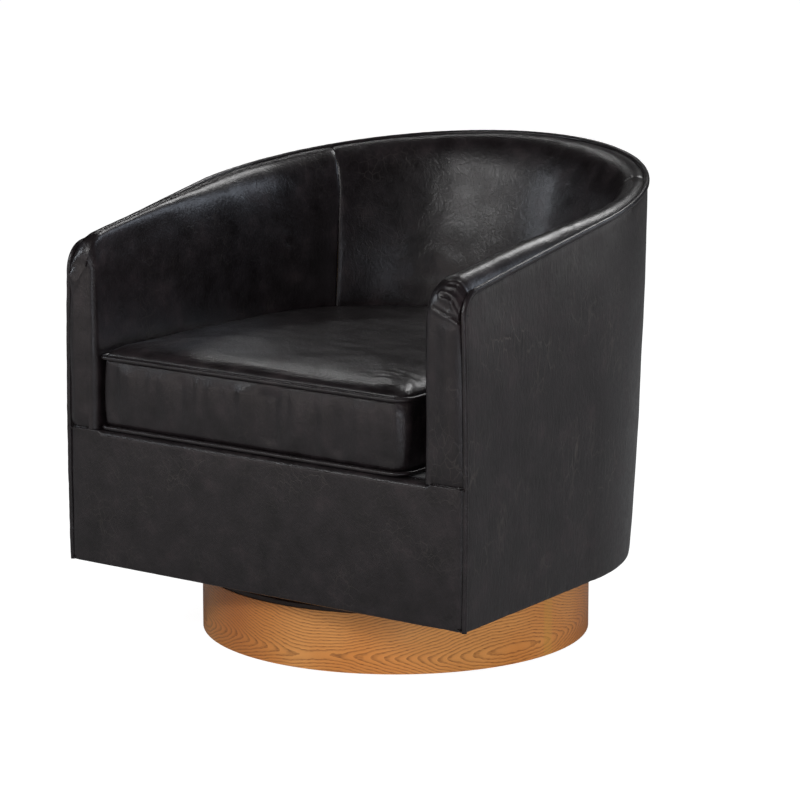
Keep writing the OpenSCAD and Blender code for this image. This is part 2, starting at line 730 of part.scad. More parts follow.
// A clip's bent strip: a base under the wire, a heel behind it and a lip over it
module clip_strip() {
  wire_r = wire_d / 2;
  floor_z = clip_base - clip_play;
  lip_z = clip_base + wire_d + clip_play;
  heel = -wire_r - clip_play - clip_t;
  polygon([
    [heel - clip_tail, 0], [wire_r + 1, 0], [wire_r + 1, floor_z], [heel + clip_t, floor_z],
    [heel + clip_t, lip_z], [wire_r, lip_z], [wire_r, lip_z + clip_t], [heel, lip_z + clip_t],
    [heel, floor_z], [heel - clip_tail, floor_z]
  ]);
}

module spring_clip(x, y)
  translate([x + spring_w / 2 - end_bend - clip_w, y, ring_top])
    rotate([90, 0, 90]) linear_extrude(clip_w) clip_strip();

module spring_clips()
  color("silver")
    for (x = spring_xs) {
      spring_clip(x, spring_front);
      mirror([0, 1, 0]) spring_clip(x, -spring_back(x));
    }

// The deck fills the seat space under the cushion, behind the fold of the front leather.
fold_r = 9;
fold_l = 14;
pad_fold_l = fold_l - 2;
deck_d = wall_d + fold_l + gap;
module deck_pad()
  color("#8d8475")
    translate([0, 0, pad_z]) linear_extrude(deck_pad_t) polygon(deck_outline(gap, deck_d));

module deck_cloth()
  color("#18181a")
    translate([0, 0, deck_z - cloth_t]) linear_extrude(cloth_t) polygon(deck_outline(gap, deck_d));

// Padding of arms and back. Its back follows the top rail and the inner panel.
function foam_back_row(q) =
  let(top = edge_z(q) - rail_top_in + gap)
  concat(
    [for (i = [0:5]) wall_pt(q, panel_in + gap + (foam_in - panel_in - gap) * i / 6, top)],
    wall_line(q, foam_in, top, ring_top, 2)
  );
module padding(qs)
  loft(layer([for (q = qs) roll_row(q, leather_t + gap, ring_top)], [for (q = qs) foam_back_row(q)]));
// In front of the wall the leather ends over the front board, behind it on the seat ring.
function leather_low(q) = front_d(q) < wall_d - 0.1 ? deck_z + gap : ring_top;
module inside_leather(qs)
  loft(layer(
    [for (q = qs) roll_row(q, 0, leather_low(q))],
    [for (q = qs) roll_row(q, leather_t, leather_low(q))]
  ));
function arm_qs(ds) = concat(
  side_qs(ds), [for (q = back_qs) if (q > seam_q + 0.02) q], [seam_q + seam_gap / 2]
);
back_panel_qs = concat([seam_q - seam_gap / 2], [for (q = back_qs) if (abs(q) < seam_q - 0.02) q],
                       [-seam_q + seam_gap / 2]);

module arm_foam_left() color("khaki") padding(arm_qs(concat(nose_ds, side_ds)));
module arm_foam_right() color("khaki") mirror([1, 0, 0]) padding(arm_qs(concat(nose_ds, side_ds)));
module back_foam() color("khaki") padding(back_panel_qs);

cover_ds = concat([leather_t + gap, 4, 7.5, wall_d - 0.2], nose_ds, side_ds);
module arm_cover_left() color("#221f1f") inside_leather(arm_qs(cover_ds));
module arm_cover_right() color("#221f1f") mirror([1, 0, 0]) inside_leather(arm_qs(cover_ds));
module back_cover() color("#221f1f") inside_leather(back_panel_qs);

// Upper end of the outside leather: it runs beside the piping, also round the nose.
welt_edge_d = welt_r + welt_clear;
skin_reach = nose_r - welt_edge_d;
function skin_top(q) =
  let(d = front_d(q), r = nose_r - welt_in - welt_clear - gap, f = (nose_r - d) / skin_reach)
  plane_z(q) - (d >= nose_r ? nose_r - r : nose_r - r * sqrt(max(0, 1 - f ^ 2)));
skin_qs = round_qs(concat([welt_edge_d, welt_edge_d + 1.2], nose_ds, side_ds));
module outer_cover() {
  function row(q, t) = concat(
    wall_line(q, t, skin_top(q), body_z + t, 3), [wall_pt(q, hem_w, body_z + t)]
  );
  color("#1d1b1b")
    loft(layer([for (q = skin_qs) row(q, 0)], [for (q = skin_qs) row(q, leather_t)]));
}

// Piping: up one front edge, over the nose, round the top edge and down the other side
welt_nose_steps = 5;
welt_half = concat(
  [for (z = [body_z, level_z(2, 0.25), level_z(2, 0.5), level_z(2, 0.75), plane_z(2) - 1.6 * nose_r])
    wall_pt(front_q(welt_r), welt_in, z)],
  [for (k = [0:welt_nose_steps])
    let(a = 90 * k / welt_nose_steps, q = front_q(nose_r - (nose_r - welt_r) * cos(a)))
    wall_pt(q, welt_in, plane_z(2) - nose_r + (nose_r - welt_in) * sin(a) + plane_z(q) - plane_z(2))],
  [for (q = side_qs(side_ds)) wall_pt(q, welt_in, plane_z(q) - welt_in)]
);
welt_back = [for (q = back_qs) wall_pt(q, welt_in, plane_z(q) - welt_in)];
function flipped(ps) = [for (i = [len(ps) - 1:-1:0]) [-ps[i].x, ps[i].y, ps[i].z]];
welt_path = concat(welt_half, welt_back, flipped(welt_half));
welt_sides = concat(
  [for (p = welt_half) [1, 0, 0]],
  [for (q = back_qs) let(n = inward(q)) [-n.x, -n.y, 0]],
  [for (p = welt_half) [-1, 0, 0]]
);
module outer_welt() color("#141313") cord(welt_path, welt_sides, welt_r, 8);

module arm_front_pads()
  color("khaki") mirrored_pair() arm_front_layer(pad_d, front_pad_t, leather_t + gap, deck_z + gap);
module arm_front_cover_left() color("#1d1b1b") arm_front_layer(0, leather_t, 0, deck_z + gap, pad_d);
module arm_front_cover_right() mirror([1, 0, 0]) arm_front_cover_left();

// The front leather turns under the body and over the front board, with a rounded top edge.
module front_profile(inset, low, top, reach, r) {
  translate([-front_reach + inset, low]) square([reach, top - r - low]);
  translate([-front_reach + inset + r, low]) square([reach - r, top - low]);
  translate([-front_reach + inset + r, top - r]) circle(r = r);
}
module along_x(half)
  translate([-half, 0, 0])
    rotate([90, 0, 90]) linear_extrude(2 * half) children();
// The space between the two front edges, which lean together upwards
module between_edges(spare)
  translate([0, far / 2, 0])
    rotate([90, 0, 0])
      linear_extrude(far)
        polygon([
          [-face_x(body_z, spare), body_z - 1], [face_x(body_z, spare), body_z - 1],
          [face_x(deck_z, spare), deck_z + 1], [-face_x(deck_z, spare), deck_z + 1]
        ]);

// Under the arm fronts the fold and the hem give way to the posts and to the side leather's hem.
module beside(x, low, high)
  mirrored_pair()
    translate([x, -front_reach + facing_d - gap, low]) cube([far, far, high - low]);

module front_pad()
  color("khaki")
    difference() {
      intersection() {
        along_x(far / 2)
          difference() {
            front_profile(pad_d, frame_z + gap, deck_z - leather_t - gap, wall_d + pad_fold_l - pad_d,
                          fold_r - pad_d);
            translate([-front_reach + facing_d - gap, -far]) square([far, far + front_board_top + gap]);
          }
        between_edges(0);
      }
      beside(seat_front_w / 2 - gap, board_top, deck_z);
    }

module front_cover()
  color("#1d1b1b")
    difference() {
      intersection() {
        along_x(far / 2)
          difference() {
            front_profile(0, body_z, deck_z, wall_d + fold_l, fold_r);
            front_profile(leather_t, body_z + leather_t, deck_z - leather_t, far, fold_r - leather_t);
          }
        between_edges(0);
      }
      beside(seat_front_w / 2 - gap, board_top, deck_z + 1);
      beside(face_x(body_z) - hem_w, body_z - 1, board_top);
    }

// Loose cushion. Its plan follows the arms and the back with rounded front corners.
cushion_z = deck_z + gap;
cushion_r = welt_r;
cushion_mid_z = cushion_z + boxing_h / 2 + cushion_r;
corner_steps = 4;
cushion_front = front_reach - 2;
cushion_side_qs = side_qs([for (f = [0.18, 0.42, 0.68]) f * front_reach]);
cushion_qs = concat(cushion_side_qs, [for (i = [0:16]) 1 - i / 8], mirrored(cushion_side_qs));
// The loose cushion is narrower than the seat, and lies against the sitter's right arm.
cushion_shift = cushion_gap - cushion_side_in;
function cushion_in(q) =
  let(s = sin(90 * min(1, abs(q)))) cushion_back_in + (cushion_side_in - cushion_back_in) * s ^ 2;
function cushion_xy(q, inset) =
  [cushion_shift, 0] + inside_xy(q, seat_h, 0) + inward(q) * (inset + cushion_in(q));
function cushion_ring(inset) =
  let(r = cushion_corner_r, cx = seat_front_w / 2 - cushion_side_in - r, cy = -cushion_front + r,
      corner = [for (k = [0:corner_steps])
        let(a = 90 * k / corner_steps) [cx + (r - inset) * sin(a), cy - (r - inset) * cos(a)]],
      other = [for (i = [corner_steps:-1:0]) [-corner[i].x, corner[i].y]],
      front = [for (f = [-0.6, -0.2, 0.2, 0.6]) [f * cx, -cushion_front + inset]])
  concat(
    [for (p = corner) p + [cushion_shift, 0]],
    [for (q = cushion_qs) cushion_xy(q, inset)],
    [for (p = concat(other, front)) p + [cushion_shift, 0]]
  );
function at_height(ps, z) = [for (p = ps) [p.x, p.y, z]];
// A ring shrunk towards the cushion's middle, as high as the crown is there
cushion_middle = [cushion_shift, -30];
function crown_ring(inset, f, base, rise) =
  [for (p = cushion_ring(inset))
    let(c = cushion_middle + (p - cushion_middle) * f) [c.x, c.y, base + rise * (1 - f ^ 2.4)]];
crown_fs = [1, 0.9, 0.72, 0.46, 0.18];
top_seam_z = cushion_z + boxing_h + cushion_r;
panel_inset = boxing_inset + 2.2 * cushion_r - leather_t;

module cushion_top_panel() {
  outer = [for (f = crown_fs) crown_ring(panel_inset, f, top_seam_z + gap, cushion_crown)];
  inner = [for (f = crown_fs) crown_ring(panel_inset, f, top_seam_z + gap - leather_t, cushion_crown)];
  color("#1d1b1b") loft(concat(reversed(inner), outer), "fan");
}

module cushion_bottom_panel() {
  rings = [for (f = [0.3, 1]) crown_ring(panel_inset, f, cushion_z, 0)];
  upper = [for (f = [1, 0.3]) crown_ring(panel_inset, f, cushion_z + leather_t, 0)];
  color("#1d1b1b") loft(concat(rings, upper), "fan");
}

// The boxing is drawn in a little half way between the two lines of piping.
boxing_low = cushion_z + 2 * cushion_r + gap;
boxing_top = top_seam_z - cushion_r - gap;
module cushion_boxing() {
  mid = (boxing_low + boxing_top) / 2;
  drawn = 1.5;
  function ring(t, z, d) = at_height(cushion_ring(boxing_inset + t + d), z);
  color("#1d1b1b")
    loft([
      ring(0, boxing_low, 0), ring(0, mid, drawn), ring(0, boxing_top, 0),
      ring(leather_t, boxing_top, 0), ring(leather_t, mid, drawn), ring(leather_t, boxing_low, 0)
    ], "round");
}

module cushion_foam() {
  t = boxing_inset + leather_t + gap;
  low = cushion_z + leather_t + gap;
  top = top_seam_z + gap - leather_t - gap;
  shoulder = panel_inset + 1;
  color("khaki")
    loft([
      crown_ring(shoulder, 0.3, low, 0), crown_ring(shoulder, 1, low, 0),
      at_height(cushion_ring(shoulder), boxing_low), at_height(cushion_ring(t), boxing_low + 4),
      at_height(cushion_ring(t + 1.5), cushion_mid_z), at_height(cushion_ring(t), boxing_top - 4),
      at_height(cushion_ring(shoulder), boxing_top),
      for (f = crown_fs) crown_ring(shoulder, f, top, cushion_crown)
    ], "fan");
}

module cushion_welt(z) {
  path = at_height(cushion_ring(cushion_r), z);
  color("#141313")
    cord(path, [for (p = path) [0, 0, 1]], cushion_r, 6, true);
}
module cushion_welt_top() cushion_welt(top_seam_z);
module cushion_welt_bottom() cushion_welt(cushion_z + cushion_r);

// A closed zip along the back of the boxing
zip_end = 0.5;
zip_qs = [for (i = [-4:4]) zip_end * i / 4];
module cushion_zip() {
  zip_t = 1.2;
  zip_out = boxing_inset - zip_t + 0.5;
  function row(q, inset, h) = [for (z = [1, -1])
    let(p = cushion_xy(q, inset))
    [p.x, p.y, (boxing_low + boxing_top) / 2 + z * h / 2]];
  module strip(qs, inset, t, h)
    loft(layer([for (q = qs) row(q, inset, h)], [for (q = qs) row(q, inset + t, h)]));
  color("#2b2b2d") strip(zip_qs, zip_out, zip_t, zip_w);
  color("silver") strip([zip_end - 0.02, zip_end], gap, zip_out - 2 * gap, zip_slider_h);
}

floor_pad();
base_bottom_board();
base_drum();
base_blocks();
base_top_board();
lower_swivel_plate();
lower_plate_screws();
ball_cage();
bearing_balls();
upper_swivel_plate();
swivel_rivet();
rivet_washer();
upper_plate_bolts();
tee_nuts();
bottom_board();
cross_rails();
dust_cover();
outer_panel();
wall_studs();
arm_posts();
top_rail();
inner_panel();
seat_ring();
front_rail();
front_board();
arm_facings();
seat_springs();
spring_clips();
deck_pad();
deck_cloth();
arm_foam_left();
arm_foam_right();
back_foam();
arm_cover_left();
arm_cover_right();
back_cover();
outer_cover();
outer_welt();
arm_front_pads();
arm_front_cover_left();
arm_front_cover_right();
front_pad();
front_cover();
cushion_foam();
cushion_top_panel();
cushion_bottom_panel();
cushion_boxing();
cushion_welt_top();
cushion_welt_bottom();
cushion_zip();
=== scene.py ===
# %% [markdown]
# # A barrel swivel chair in espresso leather
# This lesson dresses a finished CAD model of a swivel lounge chair. The CAD model brings every wooden, steel
# and foam piece in metres. Here the leather, the piping, the stuffed cushion and all the finishes are added,
# and a camera is set up that sees the chair as a product photograph does.

# %% Load the frame
import bpy, json, math
import numpy as np
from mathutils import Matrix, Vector, noise


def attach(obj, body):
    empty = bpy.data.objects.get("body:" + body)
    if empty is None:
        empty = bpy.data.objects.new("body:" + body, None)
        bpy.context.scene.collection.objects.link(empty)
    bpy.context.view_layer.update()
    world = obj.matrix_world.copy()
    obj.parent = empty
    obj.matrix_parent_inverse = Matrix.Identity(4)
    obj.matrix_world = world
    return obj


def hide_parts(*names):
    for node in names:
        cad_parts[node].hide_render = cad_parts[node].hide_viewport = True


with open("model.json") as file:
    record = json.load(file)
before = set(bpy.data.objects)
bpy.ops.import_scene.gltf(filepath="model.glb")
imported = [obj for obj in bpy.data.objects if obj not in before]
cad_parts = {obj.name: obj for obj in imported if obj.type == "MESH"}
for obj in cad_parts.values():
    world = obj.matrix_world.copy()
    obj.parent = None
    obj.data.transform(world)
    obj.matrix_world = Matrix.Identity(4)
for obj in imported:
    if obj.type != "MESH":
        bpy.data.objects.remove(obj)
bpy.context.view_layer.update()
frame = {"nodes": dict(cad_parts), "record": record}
nodes = frame["nodes"]

# %% [markdown]
# The photograph was taken with a long lens, a little above the seat and from the sitter's left. A camera
# is easiest to place by its target: a height on the swivel axis, a direction given by two angles, and a
# distance. The lens follows from how large the chair is in the picture.

# %% Camera
def look_from(turn, rise, distance, aside, height, lens):
    a, e = math.radians(turn), math.radians(rise)
    back = Vector((math.sin(a) * math.cos(e), -math.cos(a) * math.cos(e), math.sin(e)))
    target = Vector((math.cos(a) * aside, math.sin(a) * aside, height))
    bpy.ops.object.camera_add(location=target + back * distance)
    camera = bpy.context.object
    camera.name = "photo_camera"
    camera.rotation_euler = back.to_track_quat("Z", "Y").to_euler()
    camera.data.lens = lens
    camera.data.sensor_width = 36
    bpy.context.scene.camera = camera
    return back

to_camera = look_from(turn=36.12, rise=11.66, distance=5.264, aside=0.0065, height=0.348, lens=156.4)
print("the camera looks along", [round(-v, 3) for v in to_camera])

# %% [markdown]
# Every finish is a small network of shader nodes. One helper adds a node, sets it and links it. Short ones
# after it make the kinds that are used most: sums, noise, a change of range and a mix of two colours.
# Another turns a colour as a designer writes it, such as #2a1c16, into the linear values a shader wants.

# %% Helpers for finishes
def linear(hex_colour):
    parts = [int(hex_colour[i:i + 2], 16) / 255 for i in (1, 3, 5)]
    return [p / 12.92 if p <= 0.04045 else ((p + 0.055) / 1.055) ** 2.4 for p in parts] + [1.0]

def add(tree, kind, inputs=None, **settings):
    made = tree.nodes.new("ShaderNode" + kind)
    for key, value in settings.items():
        setattr(made, key, value)
    for key, value in (inputs or {}).items():
        if isinstance(value, bpy.types.NodeSocket):
            tree.links.new(value, made.inputs[key])
        else:
            made.inputs[key].default_value = value
    return made

def sums(tree, operation, *values, kind="Math"):
    return add(tree, kind, dict(enumerate(values)), operation=operation).outputs[0]

def blur(tree, coords, scale, detail, **more):
    inputs = {"Vector": coords, "Scale": scale, "Detail": detail, **more}
    return add(tree, "TexNoise", inputs).outputs["Fac"]

def ranged(tree, value, low, high, start=0.0, end=1.0):
    inputs = {"Value": value, "From Min": start, "From Max": end, "To Min": low, "To Max": high}
    return add(tree, "MapRange", inputs).outputs["Result"]

def mixed(tree, share, colour, other):
    inputs = {"Factor": share, "A": colour, "B": linear(other)}
    return add(tree, "Mix", inputs, data_type="RGBA").outputs["Result"]

def scaled(tree, coords, scale):
    return add(tree, "Mapping", {"Vector": coords, "Scale": scale}).outputs["Vector"]

def ramp(tree, value, stops):
    made = add(tree, "ValToRGB", {"Fac": value})
    band = made.color_ramp
    while len(band.elements) < len(stops):
        band.elements.new(0.5)
    for element, (place, colour) in zip(band.elements, stops):
        element.position = place
        element.color = linear(colour) if isinstance(colour, str) else (colour, colour, colour, 1.0)
    return made.outputs["Color"]

def new_finish(name, roughness, metallic=0.0, coat=0.0, coat_roughness=0.03):
    material = bpy.data.materials.new(name)
    material.use_nodes = True
    tree = material.node_tree
    shader = tree.nodes["Principled BSDF"]
    for key, value in (("Roughness", roughness), ("Metallic", metallic), ("Coat Weight", coat),
                       ("Coat Roughness", coat_roughness)):
        shader.inputs[key].default_value = value
    return material, tree, shader, add(tree, "TexCoord").outputs["Object"]

def finished(tree, shader, colour, height, depth_mm, strength):
    tree.links.new(colour, shader.inputs["Base Color"])
    made = add(tree, "Bump", {"Height": height, "Distance": depth_mm / 1000, "Strength": strength})
    for key in ("Normal", "Coat Normal"):
        tree.links.new(made.outputs["Normal"], shader.inputs[key])

print("finish helpers ready")

# %% [markdown]
# The leather is bonded leather with a waxy espresso coat over a pulled grain. The coat gives soft,
# slightly mottled highlights. Where the hide is stretched over the frame, fine pale veins show in it.
# Real pores are half a millimetre apart, too fine to see from here, so the grain is drawn at about 2 mm.

# %% Leather finish
VEIN_CELL = 0.014

def leather_finish(name, veins, stretch):
    material, tree, shader, coords = new_finish(name, 0.34, coat=0.45, coat_roughness=0.25)
    pulled = scaled(tree, coords, stretch)
    drift = add(tree, "TexNoise", {"Vector": pulled, "Scale": 34.0, "Detail": 3.0}).outputs["Color"]
    drift = sums(tree, "SUBTRACT", drift, (0.5, 0.5, 0.5), kind="VectorMath")
    drift = add(tree, "VectorMath", {0: drift, "Scale": 0.022}, operation="SCALE").outputs["Vector"]
    warped = sums(tree, "ADD", pulled, drift, kind="VectorMath")
    # Veins: the borders of warped cells, shown only where a wide noise is strong
    cracks = add(tree, "TexVoronoi", {"Vector": warped, "Scale": 1 / VEIN_CELL},
                 feature="DISTANCE_TO_EDGE").outputs["Distance"]
    thin = ranged(tree, cracks, 1.0, 0.0, end=0.045)
    where = ramp(tree, blur(tree, coords, 11.0, 2.0), [(0.48, 0.0), (0.66, 1.0)])
    vein = sums(tree, "MULTIPLY", thin, where)
    # Grain: fine noise for the pores and a coarser one for the pebbles between them
    grain = blur(tree, warped, 420.0, 3.0, Roughness=0.6)
    pebble = blur(tree, warped, 180.0, 1.0)
    cloud = blur(tree, coords, 24.0, 6.0, Roughness=0.65)
    base = ramp(tree, cloud, [(0.32, "#110d0e"), (0.55, "#1c1719"), (0.74, "#2b2325")])
    colour = mixed(tree, sums(tree, "MULTIPLY", vein, veins), base, "#3b3633")
    gloss = ranged(tree, sums(tree, "ADD", grain, cloud), 0.28, 0.50, start=0.75, end=1.25)
    tree.links.new(gloss, shader.inputs["Roughness"])
    height = sums(tree, "ADD", grain, sums(tree, "MULTIPLY", vein, -0.55))
    height = sums(tree, "MULTIPLY_ADD", pebble, 1.5, height)
    finished(tree, shader, colour, height, 0.22, 0.9)
    return material

leather = leather_finish("espresso_bonded_leather_waxed", 0.45, (1.0, 1.0, 0.75))
pulled_leather = leather_finish("espresso_bonded_leather_pulled", 0.80, (1.0, 1.0, 0.32))
print("leather finishes:", leather.name, pulled_leather.name)

# %% [markdown]
# The plinth is wrapped in crown-cut oak veneer, stained honey brown. On such veneer the growth rings show
# as nested pointed arches round long eyes. A leaf is cut from a cone of rings, so its lines are where the
# distance from the tree's axis, less a taper along the leaf, is constant. The grain is unrolled round the
# drum: the angle times the radius runs along the grain, and the height runs across it.

# %% Oak veneer finish
DRUM_R = 0.295
LEAF = 2 * math.pi * DRUM_R / 3
# The eye of the figure lies 17.2 degrees short of the chair's left side, at this height
EYE, EYE_Z = -17.2 / 180 * math.pi * DRUM_R, 0.026
RING_GAP, TAPER, SWAY, JITTER = 0.0046, 0.030, 0.014, 0.0018
LEAF_JOINT = -0.021

def oak_veneer():
    material, tree, shader, coords = new_finish("oak_veneer_honey_stained_lacquered", 0.36,
                                                coat=0.35, coat_roughness=0.3)
    parts = add(tree, "SeparateXYZ", {"Vector": coords}).outputs
    along = sums(tree, "MULTIPLY", sums(tree, "ARCTAN2", parts["Y"], parts["X"]), DRUM_R)
    turn = sums(tree, "MULTIPLY", sums(tree, "ADD", along, -EYE), 2 * math.pi / LEAF)
    taper = sums(tree, "COSINE", turn)
    sway = ranged(tree, blur(tree, coords, 7.0, 2.0), -SWAY, SWAY)
    lift = sums(tree, "ADD", sums(tree, "ADD", parts["Z"], -EYE_Z), sway)
    square = sums(tree, "ADD", sums(tree, "MULTIPLY", lift, lift), 0.00006)
    ring = sums(tree, "MULTIPLY_ADD", taper, -TAPER, sums(tree, "SQRT", square))
    jitter = ranged(tree, blur(tree, coords, 60.0, 2.0), -JITTER, JITTER)
    ring = sums(tree, "MULTIPLY", sums(tree, "ADD", ring, jitter), 1 / RING_GAP)
    late = ramp(tree, sums(tree, "FRACT", ring),
                [(0.0, 0.0), (0.45, 0.15), (0.82, 1.0), (0.97, 0.75), (1.0, 0.0)])
    # Pores: long dashes that lie in the late, dark part of each ring
    flat = add(tree, "CombineXYZ", {"X": along, "Y": parts["Z"]}).outputs["Vector"]
    pores = blur(tree, scaled(tree, flat, (90.0, 1300.0, 1.0)), 1.0, 2.0)
    dashes = sums(tree, "MULTIPLY", ramp(tree, pores, [(0.50, 0.0), (0.64, 1.0)]), late)
    grain = sums(tree, "MULTIPLY_ADD", dashes, 0.6, sums(tree, "MULTIPLY", late, 0.42))
    pale = ramp(tree, blur(tree, coords, 3.2, 3.0), [(0.3, "#bb6d34"), (0.5, "#cf8643"), (0.7, "#dfa05c")])
    colour = mixed(tree, grain, pale, "#6e3f1b")
    # A narrow, yellower strip where two leaves of veneer meet
    joint = sums(tree, "ABSOLUTE", sums(tree, "ADD", along, -LEAF_JOINT))
    colour = mixed(tree, ranged(tree, joint, 0.45, 0.0, start=0.008, end=0.011), colour, "#c58f3e")
    finished(tree, shader, colour, sums(tree, "MULTIPLY", dashes, -1.0), 0.12, 0.6)
    return material

oak = oak_veneer()
print("veneer leaf length:", round(LEAF * 1000), "mm")

# %% [markdown]
# The hidden pieces get their own plain finishes: birch plywood and pine, dark stained beech for the
# plinth's top board, powder-coated and zinc-plated steel, nylon, felt, non-woven lining and open-cell
# foam. Each is one pattern at its real size, bent into a colour and a little bump.

# %% Finishes for frame, hardware and lining
def grained(name, light, dark, across_mm, along_mm, roughness, axis):
    material, tree, shader, coords = new_finish(name, roughness)
    scale = [1000 / across_mm] * 3
    scale[axis] = 1000 / along_mm
    lines = blur(tree, scaled(tree, coords, scale), 1.0, 4.0, Distortion=0.6)
    finished(tree, shader, ramp(tree, lines, [(0.35, light), (0.65, dark)]), lines, 0.1, 0.5)
    return material

def speckled(name, light, dark, size_mm, depth_mm, roughness, metallic=0.0):
    material, tree, shader, coords = new_finish(name, roughness, metallic)
    dots = blur(tree, coords, 1000 / size_mm, 3.0, Roughness=0.6)
    finished(tree, shader, ramp(tree, dots, [(0.35, dark), (0.65, light)]), dots, depth_mm, 0.6)
    return material

def fibrous(name, light, dark, size_mm, roughness):
    material, tree, shader, coords = new_finish(name, roughness)
    cells = add(tree, "TexVoronoi", {"Vector": coords, "Scale": 1000 / size_mm},
                feature="F1").outputs["Distance"]
    finished(tree, shader, ramp(tree, cells, [(0.1, dark), (0.6, light)]), cells, 0.3, 0.7)
    shader.inputs["Sheen Weight"].default_value = 0.2
    return material

finish_of = {
    "felt": fibrous("wool_felt_pressed", "#34363a", "#1c1d20", 1.6, 0.95),
    "plywood": grained("birch_plywood_sanded", "#d9b98a", "#b08a58", 2.2, 70, 0.6, 0),
    "oak_veneer": oak,
    "dark_wood": grained("beech_dark_stained_satin", "#2f201a", "#1b110d", 1.8, 60, 0.42, 0),
    "softwood": grained("pine_planed", "#dcbb86", "#b98d54", 4.0, 120, 0.65, 2),
    "black_steel": speckled("steel_powder_coated_black", "#26262a", "#161618", 0.8, 0.05, 0.5),
    "zinc_steel": speckled("steel_zinc_plated", "#c9ccd0", "#9a9ea4", 6.0, 0.02, 0.32, 1.0),
    "spring_steel": speckled("spring_steel_oil_tempered", "#6a6c72", "#3c3d42", 3.0, 0.02, 0.4, 0.9),
    "nylon": speckled("nylon_moulded_natural", "#e6e2d4", "#d8d3c2", 5.0, 0.02, 0.45),
    "lining": fibrous("lining_spunbonded_black", "#222226", "#121214", 1.2, 0.9),
    "felt_pad": fibrous("felt_recycled_grey", "#9a9488", "#5d584f", 2.5, 0.95),
    # The foam is made near black as painted shade, so that where it shows through the slits and gaps between
    # the sheets it reads as the shadow inside them
    "foam": speckled("foam_open_cell_dark_painted_shade", "#2c2a29", "#1b1a1a", 1.5, 0.3, 0.95),
    "leather": leather,
    "zip_tape": fibrous("zip_tape_woven_black", "#2a2a2d", "#151517", 0.9, 0.8),
}
slot_of = {part["node"]: part["material_slot"] for part in frame["record"]["subparts"]}
for name, node in nodes.items():
    node.data.materials.clear()
    node.data.materials.append(finish_of[slot_of[name]])
print("finishes:", len(finish_of))

# %% [markdown]
# The body is drawn by a few curves, the same ones the CAD model uses. A number q runs round the plan: 2 at
# the left front corner, 1 beside the swivel axis, 0 at the middle of the back and -2 at the right front.
# For each q there is a point on the top edge, on the foot, and on the inside face. Left and right are the
# sitter's.

# %% The body's plan
FRONT, BODY_Z, DECK_Z, SEAT_H = 0.336, 0.115, 0.321, 0.440
ARM_H, BACK_H, NOSE_R, ROLL_DROP = 0.6055, 0.717, 0.031, 0.032
# How far the piping is pulled down at the noses and at the back, and how far back from the front
RIM_DIP, BACK_DIP, DIP_REACH = 0.015, 0.0018, 0.45
TOP_BACK, WALL_SWELL, PIPE_R = 0.393, 0.0042, 0.004

def plan(q, front_w, side_w, back):
    q = np.asarray(q, float)
    ahead = np.maximum(np.abs(q) - 1, 0)
    turn = np.clip(q, -1, 1) * math.pi / 2
    x = side_w / 2 * np.sin(turn) + np.sign(q) * (front_w - side_w) / 2 * ahead
    y = back * np.cos(turn) - FRONT * ahead
    return np.stack([x, np.where(ahead > 0, -FRONT * ahead, y)], -1)

def top_pt(q):
    return plan(q, 0.714, 0.738, TOP_BACK)

def foot_pt(q):
    return plan(q, 0.724, 0.696, 0.378)

def seat_pt(q):
    return plan(q, 0.600, 0.592, 0.289)

def roll_pt(q):
    return plan(q, 0.600, 0.618, 0.333)

# q from the distance behind the front, and the other way round
def front_q(d):
    return 2 - d / FRONT

def front_d(q):
    return FRONT * (2 - np.maximum(1, np.abs(q)))

def inward(q):
    across = roll_pt(q) - top_pt(q)
    return across / np.linalg.norm(across, axis=-1, keepdims=True)

def rearward(q):
    return (top_pt(q)[..., 1] + FRONT) / (TOP_BACK + FRONT)

def frame_z(q):
    return ARM_H + (BACK_H - ARM_H) * rearward(q)

# The tightly pulled piping lies lower than the frame's own edge, most of all at the front of the arms
def plane_z(q):
    pulled = RIM_DIP * np.clip(1 - front_d(q) / DIP_REACH, 0, 1) ** 1.25
    return frame_z(q) - pulled - BACK_DIP * rearward(q)

def quarter_fall(d, radius):
    short = np.clip(radius - d, 0, radius)
    return radius - np.sqrt(radius ** 2 - short ** 2)

def wall(q, z, inset):
    share = ((z - BODY_Z) / (frame_z(q) - BODY_Z))[..., None]
    swell = WALL_SWELL * np.sin(np.clip(share, 0, 1) * math.pi) ** 0.8
    xy = foot_pt(q) + (top_pt(q) - foot_pt(q)) * share + inward(q) * (np.asarray(inset)[..., None] - swell)
    return np.concatenate([xy, np.asarray(z, float)[..., None]], -1)

# From the front's middle line round one side and back to it: both halves of a run of q
def both_sides(half):
    return np.concatenate([half, -half[-2::-1]])

print("top edge from", round(float(plane_z(2.0)), 4), "m at the front to", round(float(plane_z(0.0)), 4))

# %% [markdown]
# Upholstery leather is a sheet pulled over a form. In Blender a flat grid does the same job: it is added
# with as many rows and columns as the sheet needs, and each of its points is then laid on the form. Solidify
# gives it the leather's thickness towards the inside. Other helpers merge and close a mesh, say what a piece
# is, and give the direction out of a sheet, so that puckers, pleats and seams can be pressed into it.

# %% Laying a sheet on a form
LEATHER_T, MERGE = 0.0015, 0.00002

def shape_of(piece):
    flat = np.empty(len(piece.data.vertices) * 3)
    piece.data.vertices.foreach_get("co", flat)
    return flat.reshape(-1, 3)

def reshape(piece, points):
    piece.data.vertices.foreach_set("co", np.ascontiguousarray(points).ravel())
    piece.data.update()

def select_only(*pieces):
    bpy.ops.object.select_all(action="DESELECT")
    for piece in pieces:
        piece.select_set(True)
        bpy.context.view_layer.objects.active = piece

def joined(other, piece):
    select_only(other, piece)
    bpy.ops.object.join()
    return piece

def apply_new(kind, **settings):
    bpy.ops.object.modifier_add(type=kind)
    modifier = bpy.context.object.modifiers[-1]
    for key, value in settings.items():
        setattr(modifier, key, value)
    bpy.ops.object.modifier_apply(modifier=modifier.name)

